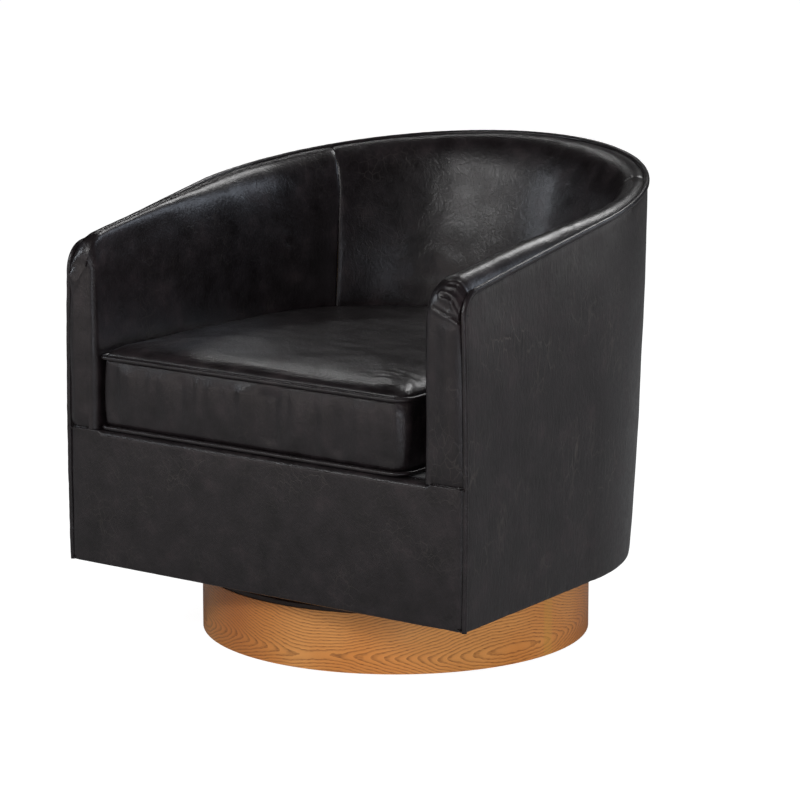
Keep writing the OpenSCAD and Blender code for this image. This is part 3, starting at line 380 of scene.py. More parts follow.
def edited(*steps):
    bpy.ops.object.mode_set(mode="EDIT")
    bpy.ops.mesh.select_all(action="SELECT")
    for tool, settings in steps:
        tool(**settings)
    bpy.ops.object.mode_set(mode="OBJECT")

def merged(threshold):
    edited((bpy.ops.mesh.remove_doubles, {"threshold": threshold}))

def close_mesh(open_ends=True):
    ops = bpy.ops.mesh
    fill = [(ops.select_all, {"action": "DESELECT"}), (ops.select_non_manifold, {}),
            (ops.edge_face_add, {}), (ops.select_all, {"action": "SELECT"})]
    edited((ops.remove_doubles, {"threshold": MERGE}), *(fill if open_ends else []),
           (ops.normals_make_consistent, {"inside": False}))

def sheet_on(name, points, thickness, finish, flip=False):
    rows, cols = points.shape[:2]
    bpy.ops.object.select_all(action="DESELECT")
    bpy.ops.mesh.primitive_grid_add(x_subdivisions=rows - 1, y_subdivisions=cols - 1, size=1)
    piece = bpy.context.object
    piece.name = name
    flat = shape_of(piece)
    i = np.rint((flat[:, 0] + 0.5) * (rows - 1)).astype(int)
    j = np.rint((flat[:, 1] + 0.5) * (cols - 1)).astype(int)
    reshape(piece, points[i, j])
    if flip:
        edited((bpy.ops.mesh.flip_normals, {}))
    if thickness:
        apply_new("SOLIDIFY", thickness=thickness, offset=-1)
    bpy.ops.object.shade_smooth_by_angle(angle=math.radians(50))
    piece.data.materials.clear()
    piece.data.materials.append(finish)
    return piece

def declare(piece, body, slot, *stands_for):
    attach(piece, body)
    if stands_for:
        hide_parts(*stands_for)

def lengths_along(path):
    return np.concatenate([[0], np.cumsum(np.linalg.norm(np.diff(path, axis=0), axis=-1))])

def out_of(points):
    normal = np.cross(np.gradient(points, axis=0), np.gradient(points, axis=1))
    return normal / np.maximum(np.linalg.norm(normal, axis=-1, keepdims=True), 1e-12)

def pushed(points, amount):
    return points + out_of(points) * amount[..., None]

# Smooth noise at each point: its lumps are about size_mm across, in all directions or in each one
def rough(points, size_mm, seed):
    offset = Vector((seed * 3.1, seed * 7.7, seed * 1.3))
    scale = 1000 / np.asarray(size_mm, float)
    flat = [noise.noise(Vector(p * scale) + offset) for p in points.reshape(-1, 3)]
    return np.array(flat).reshape(points.shape[:-1])

def near_line(points, line):
    best = np.full(points.shape[:2], 9.0)
    for a, b in zip(line[:-1], line[1:]):
        a, b = np.array(a), np.array(b)
        f = np.clip(((points - a) @ (b - a)) / ((b - a) @ (b - a)), 0, 1)[..., None]
        best = np.minimum(best, np.linalg.norm(points - a - (b - a) * f, axis=-1))
    return best

print("sheet helpers ready")

# %% [markdown]
# Inside arms and inside back are three sheets that meet in two upright seams. Each runs from the piping over
# the padded roll and down behind the cushion. Its cross-section is one line of points, set close together
# on the roll and further apart below it.

# %% Cross-section of the padded roll
EDGE_IN, BACK_FALL, SECTION_FOOT_Z = 0.0053, 0.0040, 0.2895
CREST_COLS, ROLL_COLS, FACE_COLS, SEAT_COLS = 26, 46, 22, 14

def eased(x):
    x = np.clip(x, 0, 1)
    return x * x * (3 - 2 * x)

# For each q one row of points (m, z): m runs inward from the top edge's line, and z is the height. w is the
# roll's width, deep the whole wall's, and back and front say how near q is to either end.
def section(q, deeper=0.0):
    q = np.atleast_1d(np.asarray(q, float))
    side = np.abs(q)
    e = plane_z(q) - quarter_fall(front_d(q), NOSE_R)
    o, n, roll, seat = top_pt(q), inward(q), roll_pt(q), seat_pt(q)
    w = np.linalg.norm(roll - o, axis=-1)
    deep = np.linalg.norm(seat - o, axis=-1)
    back, front = eased((1.25 - side) / 0.65), eased((side - 1.80) / 0.13)
    lean = (deep - w) / (e - ROLL_DROP - SEAT_H)
    crest_in = 0.020 + 0.010 * eased((side - 0.5) / 0.9)
    crest_up = 0.0022 + 0.0160 * eased((side - 0.30) / 1.75)

    def face(z):
        return w + lean * (e - ROLL_DROP - z)

    top_z = e + crest_up - BACK_FALL * back
    foot_z = e - 0.085 - 0.070 * back + 0.040 * front
    run = face(top_z) - crest_in
    h_top, h_foot = 0.74 + 0.01 * back + 0.04 * front, 0.66 + 0.04 * back - 0.04 * front
    rows = []
    # From the piping up to the crest of the roll
    for f in np.linspace(0, 1, CREST_COLS + 1)[:-1]:
        m = EDGE_IN * (1 - f) ** 2 + 1.1 * crest_in * f * (1 - f) + crest_in * f * f
        up = crest_up * (2 * f - f * f) - BACK_FALL * back * f
        rows.append((m, e - 0.0030 * (1 - f) ** 2 + up))
    # Over the roll: one Bezier curve
    for f in np.linspace(0, 1, ROLL_COLS + 1)[:-1]:
        a, b, c, d = (1 - f) ** 3, 3 * f * (1 - f) ** 2, 3 * f * f * (1 - f), f ** 3
        m1, z1 = crest_in + h_top * run, top_z - BACK_FALL / 0.018 * back * h_top * run
        z2 = foot_z + h_foot * (top_z - foot_z)
        rows.append((a * crest_in + b * m1 + c * face(z2) + d * face(foot_z),
                     a * top_z + b * z1 + c * z2 + d * foot_z))
    # Down the leaning face to the seat, and behind the cushion
    for f in np.linspace(0, 1, FACE_COLS + 1)[:-1]:
        z = foot_z + (SEAT_H - foot_z) * f
        rows.append((face(z), z))
    for f in np.linspace(0, 1, SEAT_COLS):
        rows.append((deep, SEAT_H + (SECTION_FOOT_Z - SEAT_H) * f + 0 * e))
    m, z = np.stack([r[0] for r in rows], 1), np.stack([r[1] for r in rows], 1)
    if deeper:
        dm, dz = np.gradient(m, axis=1), np.gradient(z, axis=1)
        size = np.maximum(np.hypot(dm, dz), 1e-9)
        m, z = m + deeper * dz / size, z - deeper * dm / size
    w, deep = w[:, None], deep[:, None]
    share = np.clip((m - w) / np.maximum(deep - w, 1e-9), 0, 1)
    reach = m - share * np.maximum(deep - w, 0)
    xy = o[:, None] + n[:, None] * reach[..., None] + share[..., None] * (seat - roll)[:, None]
    return np.concatenate([xy, z[..., None]], -1)

sample = section([1.5])
print("section columns:", sample.shape[1], "crest at", sample[0, CREST_COLS].round(4))

# %% [markdown]
# Each arm is covered by one piece of leather that starts on the arm's front face. The grid's first rows lie
# on that face, the next ones turn round its edge, and the rest run back to the seam. The front edge is
# rounded by about 13 mm on the seat side, because the padding is wrapped over a board there. Where the
# leather is eased round the tight corner at the top, it is pleated.

# %% Arms
SEAM_Q, EDGE_R, CAP_ROWS, Q_LENGTH = 0.603, 0.013, 38, 0.52
CAP_FOOT_Z, CAP_HEAD_Z, CAP_BULGE = 0.3213, 0.574, 0.0042
SEAM_STEPS = np.array([0.020, 0.014, 0.010, 0.007, 0.0045, 0.0022, 0.0003])
near_ds = NOSE_R * (1 - np.cos(np.linspace(0, math.pi / 2, 27)))
far_ds = np.concatenate([np.arange(0.0325, 0.066, 0.0015), np.linspace(0.068, FRONT, 60)])
arm_qs = np.concatenate([front_q(near_ds), front_q(far_ds), np.linspace(1, SEAM_Q + 0.028, 30)[1:],
                         SEAM_Q + SEAM_STEPS])

def turned_edge(points, ds):
    along = np.gradient(points, axis=1)
    horizontal = inward(arm_qs[:len(points)])
    go_in = (along[..., :2] * horizontal[:, None]).sum(-1)
    size = np.maximum(np.hypot(go_in, along[..., 2]), 1e-9)
    share = eased((np.arange(points.shape[1]) - CREST_COLS) / 30)
    draw = quarter_fall(ds[:, None], EDGE_R) * share
    points[..., :2] -= (draw * -along[..., 2] / size)[..., None] * horizontal[:, None]
    points[..., 2] -= draw * go_in / size
    return points

# Near the front the leather ends on top of the front panel, which runs through under the arm
def low_end(points, ds):
    raised = (ds < 0.0114)[:, None] & (points[..., 2] < CAP_FOOT_Z)
    points[..., 2] = np.where(raised, CAP_FOOT_Z, points[..., 2])
    return points

def front_cap(edge, count):
    lengths = lengths_along(edge)
    z = edge[0, 2] - 0.006 + (CAP_FOOT_Z + 0.006 - edge[0, 2]) * lengths / lengths[-1]
    outer = wall(np.full(len(z), 2.0), z, np.full(len(z), EDGE_IN))
    s = np.linspace(0, 1, count + 1)[:-1, None]
    cap = outer[None] + (edge - outer)[None] * s[..., None]
    above = cap[..., 2] - CAP_FOOT_Z
    room = np.clip(above / 0.05, 0, 1) ** 0.5 * np.clip((CAP_HEAD_Z - cap[..., 2]) / 0.03, 0, 1)
    cap[..., 1] = -FRONT - CAP_BULGE * (1 - np.cos(2 * math.pi * s ** 0.72)) / 2 * room
    cap[..., 1] += 0.0022 * np.exp(-s * 0.033 / 0.0025)
    cap[..., 1] += 0.0045 * np.exp(-above / 0.0045)
    return cap

def pinch(points, line, width, depth, ridge=0.5):
    gap = near_line(points, line)
    fall = -np.exp(-gap / width) + ridge * np.exp(-((gap - 4.5 * width) / (2.8 * width)) ** 2)
    return pushed(points, fall * depth)

# The seam allowance: along each named side two more rows, turned into the padding
def tucked(points, *sides, towards=None):
    for side in sides:
        place, axis = {"first": 0, "last": -1}[side.split("_")[0]], int(side.endswith("column"))
        edge = np.take(points, place, axis)
        out = np.take(out_of(points), place, axis) if towards is None else -np.asarray(towards, float)
        depths = (0.0025, 0.0070) if place else (0.0070, 0.0025)
        allowance = np.stack([edge - out * deep for deep in depths], axis)
        points = np.concatenate([points, allowance] if place else [allowance, points], axis)
    return points

# Slow waves and small dents that fade out beside a seam, and the dip of the seam itself
def sewn(points, to_seam, sizes, depths, seed):
    wave = rough(points, sizes[0], seed) * depths[0] + rough(points, sizes[1], seed + 1) * depths[1]
    points = pushed(points, wave * (1 - np.exp(-to_seam / 0.02))[:, None])
    return points - out_of(points) * (0.0022 * np.exp(-to_seam / 0.0030))[:, None, None]

# Each pleat: its line, its width and its depth in millimetres
PLEATS = [
    ([(0.328, -0.326, 0.605), (0.339, -0.321, 0.604), (0.347, -0.321, 0.598), (0.354, -0.320, 0.590)],
     1.0, 2.6),
    ([(0.322, -0.334, 0.590), (0.333, -0.334, 0.588), (0.342, -0.334, 0.584), (0.347, -0.335, 0.577),
      (0.352, -0.335, 0.570)], 1.0, 2.6),
    ([(0.310, -0.335, 0.572), (0.325, -0.336, 0.566), (0.336, -0.338, 0.563), (0.344, -0.337, 0.561),
      (0.352, -0.336, 0.557)], 1.0, 2.2),
    ([(0.338, -0.336, 0.583), (0.335, -0.337, 0.571)], 1.0, 1.4),
]
# A star-shaped crease on the sitter's right arm, where the leather is held down over the foam
STAR = np.array([0.285, 0.104, 0.549])
STAR_RAYS, RAY_LENGTH = [(-0.9, 0.5), (-0.5, -0.9), (0.2, 0.95), (0.95, 0.25), (0.75, -0.7)], 0.019

# The padding of the two arms is not quite the same: how much fuller each is at its front, in metres
FULL_LEFT, FULL_RIGHT = 0.009, -0.009

def filled(body, qs, fuller):
    share = eased((qs - 1) / 0.7)[:, None] * eased((np.arange(body.shape[1]) - CREST_COLS) / 30)
    body[..., 0] -= fuller * share
    return body

def arm_sheet(seed, creased=False, fuller=0.0):
    body = filled(section(arm_qs), arm_qs, fuller)
    ds = front_d(arm_qs)
    body = low_end(turned_edge(body, ds), ds)
    points = np.concatenate([front_cap(body[0], CAP_ROWS), body])
    for line, width, depth in PLEATS[:1] if creased else PLEATS:
        points = pinch(points, line, width / 1000, depth / (2000 if creased else 1000))
    if creased:
        for along, up in STAR_RAYS:
            tip = STAR + np.array([0.0, along, up]) * RAY_LENGTH
            points = pinch(points, [tuple(STAR), tuple(tip)], 0.0022, 0.0009)
    to_seam = np.abs(np.concatenate([np.full(CAP_ROWS, 2.0), arm_qs]) - SEAM_Q) * Q_LENGTH
    points = sewn(points, to_seam, (75, 28), (0.0013, 0.00045), seed)
    points = tucked(tucked(points, "last_row"), "first_row", towards=(0, 1, 0))
    # Beside the piping the allowance points straight into the wall: back at the front, down on top
    ahead = np.clip((NOSE_R - np.concatenate([np.zeros(CAP_ROWS + 2), ds, ds[-2:]])) / NOSE_R, 0, 1)
    down = np.stack([0 * ahead, ahead, -np.sqrt(1 - ahead ** 2)], -1)
    return tucked(points, "first_column", towards=down)

arm_left_points = arm_sheet(1, fuller=FULL_LEFT)
arm_left = sheet_on("arm_leather_left", arm_left_points, LEATHER_T, leather)
declare(arm_left, "chair_body", "leather", "arm_cover_left", "arm_front_cover_left")
arm_right_points = arm_sheet(5, creased=True, fuller=FULL_RIGHT) * (-1, 1, 1)
arm_right = sheet_on("arm_leather_right", arm_right_points, LEATHER_T, leather, flip=True)
declare(arm_right, "chair_body", "leather", "arm_cover_right", "arm_front_cover_right")
print("arm sheet:", arm_left_points.shape[:2], "points,", len(arm_left.data.polygons), "faces")

# %% [markdown]
# The inside back is one panel between the two seams. It is pulled less tightly than the arms, so it swells
# a little over the cushion and creases softly where it dives behind it.

# %% Inside back
BACK_SWELL = 0.0070
BACK_CREASES = [[(-0.150, 0.255, 0.494), (-0.118, 0.272, 0.489), (-0.070, 0.291, 0.498)],
                [(-0.090, 0.283, 0.478), (-0.040, 0.294, 0.485), (0.020, 0.296, 0.480)],
                [(-0.120, 0.270, 0.512), (-0.100, 0.280, 0.492), (-0.108, 0.278, 0.470)]]

def back_sheet():
    fine = SEAM_Q - SEAM_STEPS[::-1]
    qs = both_sides(np.concatenate([fine, np.linspace(SEAM_Q - 0.028, 0, 92)]))
    points = section(qs)
    rise = np.clip((points[..., 2] - 0.40) / 0.24, 0, 1)
    across = np.sqrt(np.clip(1 - (np.abs(qs) / SEAM_Q) ** 2, 0, 1))
    points = pushed(points, BACK_SWELL * np.sin(math.pi * rise) ** 2 * across[:, None])
    points = sewn(points, (SEAM_Q - np.abs(qs)) * Q_LENGTH, (90, 30), (0.0014, 0.00045), 11)
    return tucked(tucked(points, "first_row", "last_row"), "first_column", towards=(0, 0, -1))

back_points = back_sheet()
for line in BACK_CREASES:
    back_points = pinch(back_points, line, 0.004, 0.0011)
back_leather = sheet_on("back_leather", back_points, LEATHER_T, leather)
declare(back_leather, "chair_body", "leather", "back_cover")
print("back sheet:", back_points.shape[:2])

# %% [markdown]
# Under the leather lies polyurethane foam, glued over the frame: thick on the arms and the back, and thin
# on the arm fronts. Each block is closed: its face follows the leather's section a little deeper, and its
# back follows the top rail and the inner panel of the frame.

# %% Foam of arms and back
FOAM_FOOT_Z, PANEL_IN, SLIT = 0.2904, 0.0375, 0.0045

def rail_z(q):
    return frame_z(q) - quarter_fall(front_d(q), 0.025) - 0.0212

def foam_block(name, node, qs, mirror=False, fuller=0.0):
    face = filled(section(qs, deeper=0.0045), qs, fuller)[:, CREST_COLS // 3:]
    face[..., 2] = np.maximum(face[..., 2], FOAM_FOOT_Z)
    top = rail_z(qs)[:, None]
    frame_in = np.stack([np.linspace(0.0060, PANEL_IN - 0.0002, 8)] * len(qs))
    ledge = wall(np.repeat(qs[:, None], 8, 1), np.repeat(top, 8, 1), frame_in)
    z = top + (FOAM_FOOT_Z - top) * np.linspace(0, 1, 22)[1:]
    panel = wall(np.repeat(qs[:, None], 21, 1), z, np.full(z.shape, PANEL_IN))
    rim = np.concatenate([ledge, panel, face[:, ::-1]], 1)
    centre = rim.mean(1, keepdims=True)
    small, half = [centre + (rim - centre) * f for f in (0.02, 0.6)]
    loop = np.concatenate([small[:1], half[:1], rim, half[-1:], small[-1:]])
    loop = np.concatenate([loop, loop[:, :1]], 1) * ((-1, 1, 1) if mirror else (1, 1, 1))
    block = sheet_on(name, loop, 0, finish_of["foam"])
    close_mesh()
    declare(block, "chair_body", "foam", node)

foam_ds = np.concatenate([[0.0115, 0.018], np.linspace(0.025, FRONT, 34)])
foam_qs = np.concatenate([front_q(foam_ds), np.linspace(1, SEAM_Q + SLIT, 18)[1:]])
foam_block("arm_padding_left", "arm_foam_left", foam_qs, fuller=FULL_LEFT)
foam_block("arm_padding_right", "arm_foam_right", foam_qs, mirror=True, fuller=FULL_RIGHT)
foam_block("back_padding", "back_foam", np.linspace(SEAM_Q - SLIT, -SEAM_Q + SLIT, 70))
print("foam blocks made")

# %% [markdown]
# The outside is one long panel that runs right round the chair, from the piping down to the foot, where it
# is turned under and stapled. It is sewn to the piping, so it dips beside it and puckers a little.

# %% Outside panel
PIPE_EDGE, TURNED_UNDER = 0.0043, 5

def skin_top(q):
    d, r = front_d(q), NOSE_R - 0.0016
    f = np.clip((NOSE_R - d) / (NOSE_R - PIPE_EDGE), 0, 1)
    return plane_z(q) - np.where(d >= NOSE_R, NOSE_R - r, NOSE_R - r * np.sqrt(1 - f ** 2))

def outside_sheet():
    start = np.concatenate([PIPE_EDGE + (NOSE_R - PIPE_EDGE) * (1 - np.cos(np.linspace(0, math.pi / 2, 14))),
                            np.linspace(0.034, FRONT, 66)])
    qs = both_sides(np.concatenate([front_q(start), np.linspace(1, 0, 92)[1:]]))
    top = skin_top(qs)[:, None]
    up = np.concatenate([np.linspace(0, 0.08, 16)[:-1], np.linspace(0.08, 0.95, 76)[:-1],
                         1 - 0.05 * (1 - np.linspace(0, 1, 18)) ** 1.4])
    z = BODY_Z + (top - BODY_Z) * up
    from_top = top - z
    inset = 0.0032 * np.exp(-from_top / 0.0035) + 0.0008 * np.exp(-(z - BODY_Z) / 0.003)
    inset = inset + 0.0012 * np.exp(-(front_d(qs)[:, None] - PIPE_EDGE) / 0.004)
    skin = wall(np.repeat(qs[:, None], len(up), 1), z, inset)
    folded = (len(qs), TURNED_UNDER)
    under = wall(np.repeat(qs[:, None], TURNED_UNDER, 1), np.full(folded, BODY_Z),
                 np.linspace(0.022, 0.007, TURNED_UNDER)[None].repeat(len(qs), 0))
    return np.concatenate([under, skin], 1), np.concatenate([np.full(folded, 0.6), from_top], 1)

outside_points, from_top = outside_sheet()
pucker = rough(outside_points * (1, 1, 0.15), 9, 21) * 0.0007 * np.exp(-from_top / 0.016)
above = outside_points[..., 2] - BODY_Z
hem = rough(outside_points * (1, 1, 0.3), 13, 22) * 0.0008 * np.exp(-above / 0.014)
slow = rough(outside_points, 140, 23) * 0.0016 + rough(outside_points, 45, 24) * 0.00045
outside_points = pushed(outside_points, pucker + hem + slow)
outside_points[..., 2] = np.maximum(outside_points[..., 2], BODY_Z)
outside_points = tucked(outside_points, "first_row", "last_row", "last_column")
outside = sheet_on("outer_leather", outside_points, LEATHER_T, pulled_leather)
declare(outside, "chair_body", "leather", "outer_cover")
print("outside sheet:", outside_points.shape[:2])

# %% [markdown]
# Piping is a cord wrapped in a strip of leather. A tube follows its path: each ring of points is set square
# to the path. Real piping is never quite even, so its radius and place wander by a fraction of a
# millimetre.

# %% Piping
def resampled(path, step, closed=False):
    path = np.asarray(path, float)
    if closed:
        path = np.concatenate([path, path[:1]])
    lengths = lengths_along(path)
    count = max(2, int(round(lengths[-1] / step)))
    where = np.linspace(0, lengths[-1], count + 1)
    where = where[:-1] if closed else where
    return np.stack([np.interp(where, lengths, path[:, k]) for k in range(3)], -1)

def smooth_path(path, times, closed=False):
    for _ in range(times):
        if closed:
            path = (np.roll(path, 1, 0) + 2 * path + np.roll(path, -1, 0)) / 4
        else:
            path = np.concatenate([path[:1], (path[:-2] + 2 * path[1:-1] + path[2:]) / 4, path[-1:]])
    return path

def tube(name, path, up, radius, sides, finish, closed=False, seed=1):
    along = np.roll(path, -1, 0) - np.roll(path, 1, 0) if closed else np.gradient(path, axis=0)
    along /= np.linalg.norm(along, axis=-1, keepdims=True)
    side = np.broadcast_to(up, path.shape)
    side = side - along * (side * along).sum(-1, keepdims=True)
    side /= np.linalg.norm(side, axis=-1, keepdims=True)
    other = np.cross(along, side)
    angle = np.linspace(0, 2 * math.pi, sides + 1)[None, :, None]
    wander = np.array([noise.noise(Vector(p) * 40 + Vector((seed, 0, 0))) for p in path])
    uneven = np.array([noise.noise(Vector(p) * 110 + Vector((0, seed, 0))) for p in path])
    centre = path + side * (wander * 0.0004)[:, None]
    ring = side[:, None] * np.cos(angle) + other[:, None] * np.sin(angle)
    points = centre[:, None] + ring * (radius * (1 + 0.07 * uneven))[:, None, None]
    if closed:
        points = np.concatenate([points, points[:1]])
    piece = sheet_on(name, points, 0, finish)
    close_mesh(open_ends=not closed)
    return piece

PIPE_IN, PIPE_STEP, PIPE_SIDES = 0.001, 0.0035, 14

def pipe_point(q, z):
    return wall(np.array([q]), np.array([z]), np.array([PIPE_IN]))[0]

# Half the path: up the front corner, round the nose, along the arm and to the middle of the back
tip_z = float(plane_z(2.0))
half = [pipe_point(front_q(PIPE_R), z) for z in np.linspace(BODY_Z + 0.0002, tip_z - NOSE_R - 0.004, 60)]
for a in np.linspace(0, math.pi / 2, 16):
    q = float(front_q(NOSE_R - (NOSE_R - PIPE_R) * math.cos(a)))
    half.append(pipe_point(q, float(plane_z(q)) - NOSE_R + (NOSE_R - PIPE_IN) * math.sin(a)))
for q in np.concatenate([front_q(np.linspace(0.035, FRONT, 60)), np.linspace(1, 0, 70)[1:]]):
    half.append(pipe_point(float(q), float(plane_z(q)) - PIPE_IN))
half = np.array(half)
pipe_path = np.concatenate([half, (half * (-1, 1, 1))[-2::-1]])
pipe_path = smooth_path(resampled(pipe_path, PIPE_STEP), 4)
out_side = pipe_path * (1, 1, 0)
out_side /= np.linalg.norm(out_side, axis=-1, keepdims=True)
piping = tube("outer_piping", pipe_path, out_side, PIPE_R, PIPE_SIDES, leather)
declare(piping, "chair_body", "leather", "outer_welt")
print("piping runs", round(float(lengths_along(pipe_path)[-1]), 2), "m")

# %% [markdown]
# The front panel under the cushion is a narrow strip between the two front edges. It is folded over the
# front board at the top, and turned under the body at the foot, where it gathers into small puckers.

# %% Front panel
FRONT_INNER, FRONT_EDGE, HEM_R = 0.2990, 0.3537, 0.004

def front_sheet():
    across = both_sides(np.concatenate([np.linspace(FRONT_EDGE, FRONT_INNER + 0.0012, 22),
                                        np.linspace(FRONT_INNER, 0, 66)]))[:, None]
    under_arm = np.abs(across) > FRONT_INNER + 0.0005
    fold_r = np.where(under_arm, 0.0022, 0.0090)
    reach = np.where(under_arm, 0.0010, 0.0254 - 0.0090)
    ones = np.ones_like(across)
    # Rows of (y, z): the top, its fold, the face, the fold at the foot and what is turned under
    parts = [(-FRONT + fold_r + reach * f, DECK_Z * ones) for f in np.linspace(1, 0, 27)[:-1]]
    parts += [(-FRONT + fold_r - fold_r * math.sin(a), DECK_Z - fold_r + fold_r * math.cos(a))
              for a in np.linspace(0, math.pi / 2, 12)]
    parts += [(-FRONT * ones, (DECK_Z - fold_r) * (1 - f) + (BODY_Z + HEM_R) * f)
              for f in np.linspace(0, 1, 52)[1:]]
    parts += [((-FRONT + HEM_R - HEM_R * math.cos(a)) * ones, (BODY_Z + HEM_R - HEM_R * math.sin(a)) * ones)
              for a in np.linspace(0, math.pi / 2, 7)[1:]]
    parts += [((-FRONT + y) * ones, BODY_Z * ones) for y in np.linspace(0.006, 0.024, 6)]
    y, z = [np.concatenate([part[k] for part in parts], 1) for k in (0, 1)]
    edge = wall(np.full(z.shape, 2.0), z, np.full(z.shape, EDGE_IN))[..., 0]
    x = across / FRONT_EDGE * np.where(under_arm, edge, FRONT_EDGE)
    x = np.where(z < 0.30, across / FRONT_EDGE * edge, x)
    x = x * np.where((y > -FRONT + 0.0047) & (z < 0.2), 0.95, 1.0)
    return np.stack([x, y, z], -1)

front_points = front_sheet()
height = (front_points[..., 2] - BODY_Z) / (DECK_Z - BODY_Z)
beside = 0.3575 - np.abs(front_points[..., 0])
near_corner = 0.10 + 0.90 * eased((front_points[..., 0] - 0.295) / 0.03)
swell = 0.0022 * np.sin(math.pi * np.clip(height, 0, 1)) * (1 - np.exp(-beside / 0.02))
swell = swell + rough(front_points, 60, 31) * 0.0008 * np.clip(height * 8, 0, 1)
puckers = rough(front_points * (1, 1, 0.35), 12, 32) * 0.0016 * near_corner
swell = swell + puckers * np.exp(-(front_points[..., 2] - BODY_Z) / 0.011)
swell = swell - 0.0022 * np.exp(-beside / 0.003)
front_points = pushed(front_points, swell)
front_points[..., 2] = np.clip(front_points[..., 2], BODY_Z, DECK_Z)
front_points = pinch(front_points, [(0.357, -0.336, 0.357), (0.359, -0.336, 0.353)], 0.003, 0.001)
front_points = tucked(front_points, "first_row", "last_row")
front_leather = sheet_on("front_leather", front_points, LEATHER_T, leather)
declare(front_leather, "chair_body", "leather", "front_cover")
print("front sheet:", front_points.shape[:2])

# %% [markdown]
# Under the front leather lie thin sheets of foam: one wrapped over the front board, and one on each arm's
# front. Each is the leather's own grid, drawn in from its edges, laid a little deeper and given a
# thickness, so it follows every curve above it and never shows past it.

# %% Foam of the fronts
def thin_pad(name, points, thickness):
    return sheet_on(name, points - out_of(points) * 0.0026, thickness, finish_of["foam"])

def declare_pad(pad, *stands_for):
    declare(pad, "chair_body", "foam", *stands_for)

front_padding = thin_pad("front_padding", front_points[6:-6, 3:-8], 0.0012)
declare_pad(front_padding, "front_pad")
on_cap = (slice(9, CAP_ROWS), slice(CREST_COLS, -14))
left_pad = thin_pad("arm_front_padding", arm_left_points[on_cap], 0.0022)
right_pad = thin_pad("arm_front_padding_right", arm_right_points[on_cap][::-1], 0.0022)
declare_pad(joined(right_pad, left_pad), "arm_front_pads")
print("front padding:", len(front_padding.data.polygons), "and", len(left_pad.data.polygons), "faces")

# %% [markdown]
# Behind each arm's front stands a plywood facing, sawn to the arm's own outline. The leather is pulled lower
# than the CAD model has it, so the boards are sawn anew: the same section, 8 mm deeper than the leather.

# %% Facings of the arms
FACING_FOOT_Z, FACING_FRONT, FACING_BACK = 0.3113, -0.3309, -0.3249

def facing_board(name, side, fuller):
    qs = np.array([front_q(0.0051)])
    row = filled(section(qs, deeper=0.0095), qs, fuller)[0]
    row = row[(row[:, 2] > FACING_FOOT_Z) & (np.arange(len(row)) > CREST_COLS // 4)]
    z = np.linspace(FACING_FOOT_Z, row[0, 2], 24)[:-1]
    outer = wall(np.full(23, 2.0), z, np.full(23, 0.0160))
    ring = np.concatenate([outer, row, [[row[-1, 0], 0, FACING_FOOT_Z]]])
    centre = ring.mean(0)
    shares = (0.02, 0.5, 1)
    loops = [(f, FACING_FRONT) for f in shares] + [(f, FACING_BACK) for f in shares[::-1]]
    loops = np.array([(centre + (ring - centre) * f) * (side, 0, 1) + (0, y, 0) for f, y in loops])
    board = sheet_on(name, np.concatenate([loops, loops[:, :1]], 1), 0, finish_of["plywood"])
    close_mesh()
    return board

facings = facing_board("arm_facing_boards", 1, FULL_LEFT)
joined(facing_board("arm_facing_board_right", -1, FULL_RIGHT), facings)
declare(facings, "chair_body", "plywood", "arm_facings")
print("facings:", len(facings.data.polygons), "faces")

# %% [markdown]
# The seat cushion is a foam block in a sewn case: a top and a bottom panel, and a strip called the boxing
# between them. It starts as a shape a little smaller than it should be. A cloth simulation then blows it up
# from inside, as foam does in a tight case, while the piped edges are held in place.
# The loose cushion is a little narrower than the seat, and lies against the sitter's right arm, where its
# front corner is squeezed tighter than the other.

# %% Seat cushion
LOW_PIPE_Z, TOP_PIPE_Z, CROWN, CASE_FOOT_Z = 0.3253, 0.4313, 0.0300, 0.3216
SIDE_IN, BACK_IN, SHIFT, CUSHION_FRONT = 0.0175, 0.011, -0.0245, -0.334
FREE_R, SQUEEZED_R, CASE_IN = 0.034, 0.015, 0.0085
MIDDLE_Y = -0.03

def flat_ring(ring, step):
    return resampled(np.concatenate([ring, np.zeros((len(ring), 1))], -1), step, closed=True)

def cushion_outline(inset, step=0.004):
    def corner(radius, side):
        turn = np.linspace(0, math.pi / 2, 12)
        cx, cy, r = 0.300 - SIDE_IN - radius, CUSHION_FRONT + radius, radius - inset
        return np.stack([side * (cx + r * np.sin(turn)), cy - r * np.cos(turn)], -1)

    q = np.concatenate([front_q(np.linspace(0.05, FRONT, 24)), np.linspace(1, -1, 81)[1:-1],
                        -front_q(np.linspace(FRONT, 0.05, 24))])
    turned = np.sin(np.minimum(np.abs(q), 1) * math.pi / 2)[:, None] ** 2
    side = seat_pt(q) + inward(q) * (inset + BACK_IN + (SIDE_IN - BACK_IN) * turned)
    free, squeezed = corner(FREE_R, 1), corner(SQUEEZED_R, -1)[::-1]
    front = np.linspace(squeezed[-1, 0], free[0, 0], 40)[1:-1]
    front = np.stack([front, np.full(38, CUSHION_FRONT + inset)], -1)
    return flat_ring(np.concatenate([free, side, squeezed, front]) + (SHIFT, 0), step)

# A ring drawn in towards a middle point, pushed out and lifted, once for each (share, out, z)
def dished(ring, middle, profile):
    out = ring - middle
    out = out / np.linalg.norm(out, axis=-1, keepdims=True)
    made = np.array([middle + (ring - middle) * f + out * o + np.array([0, 0, z]) for f, o, z in profile])
    return np.concatenate([made, made[:, :1]], 1)

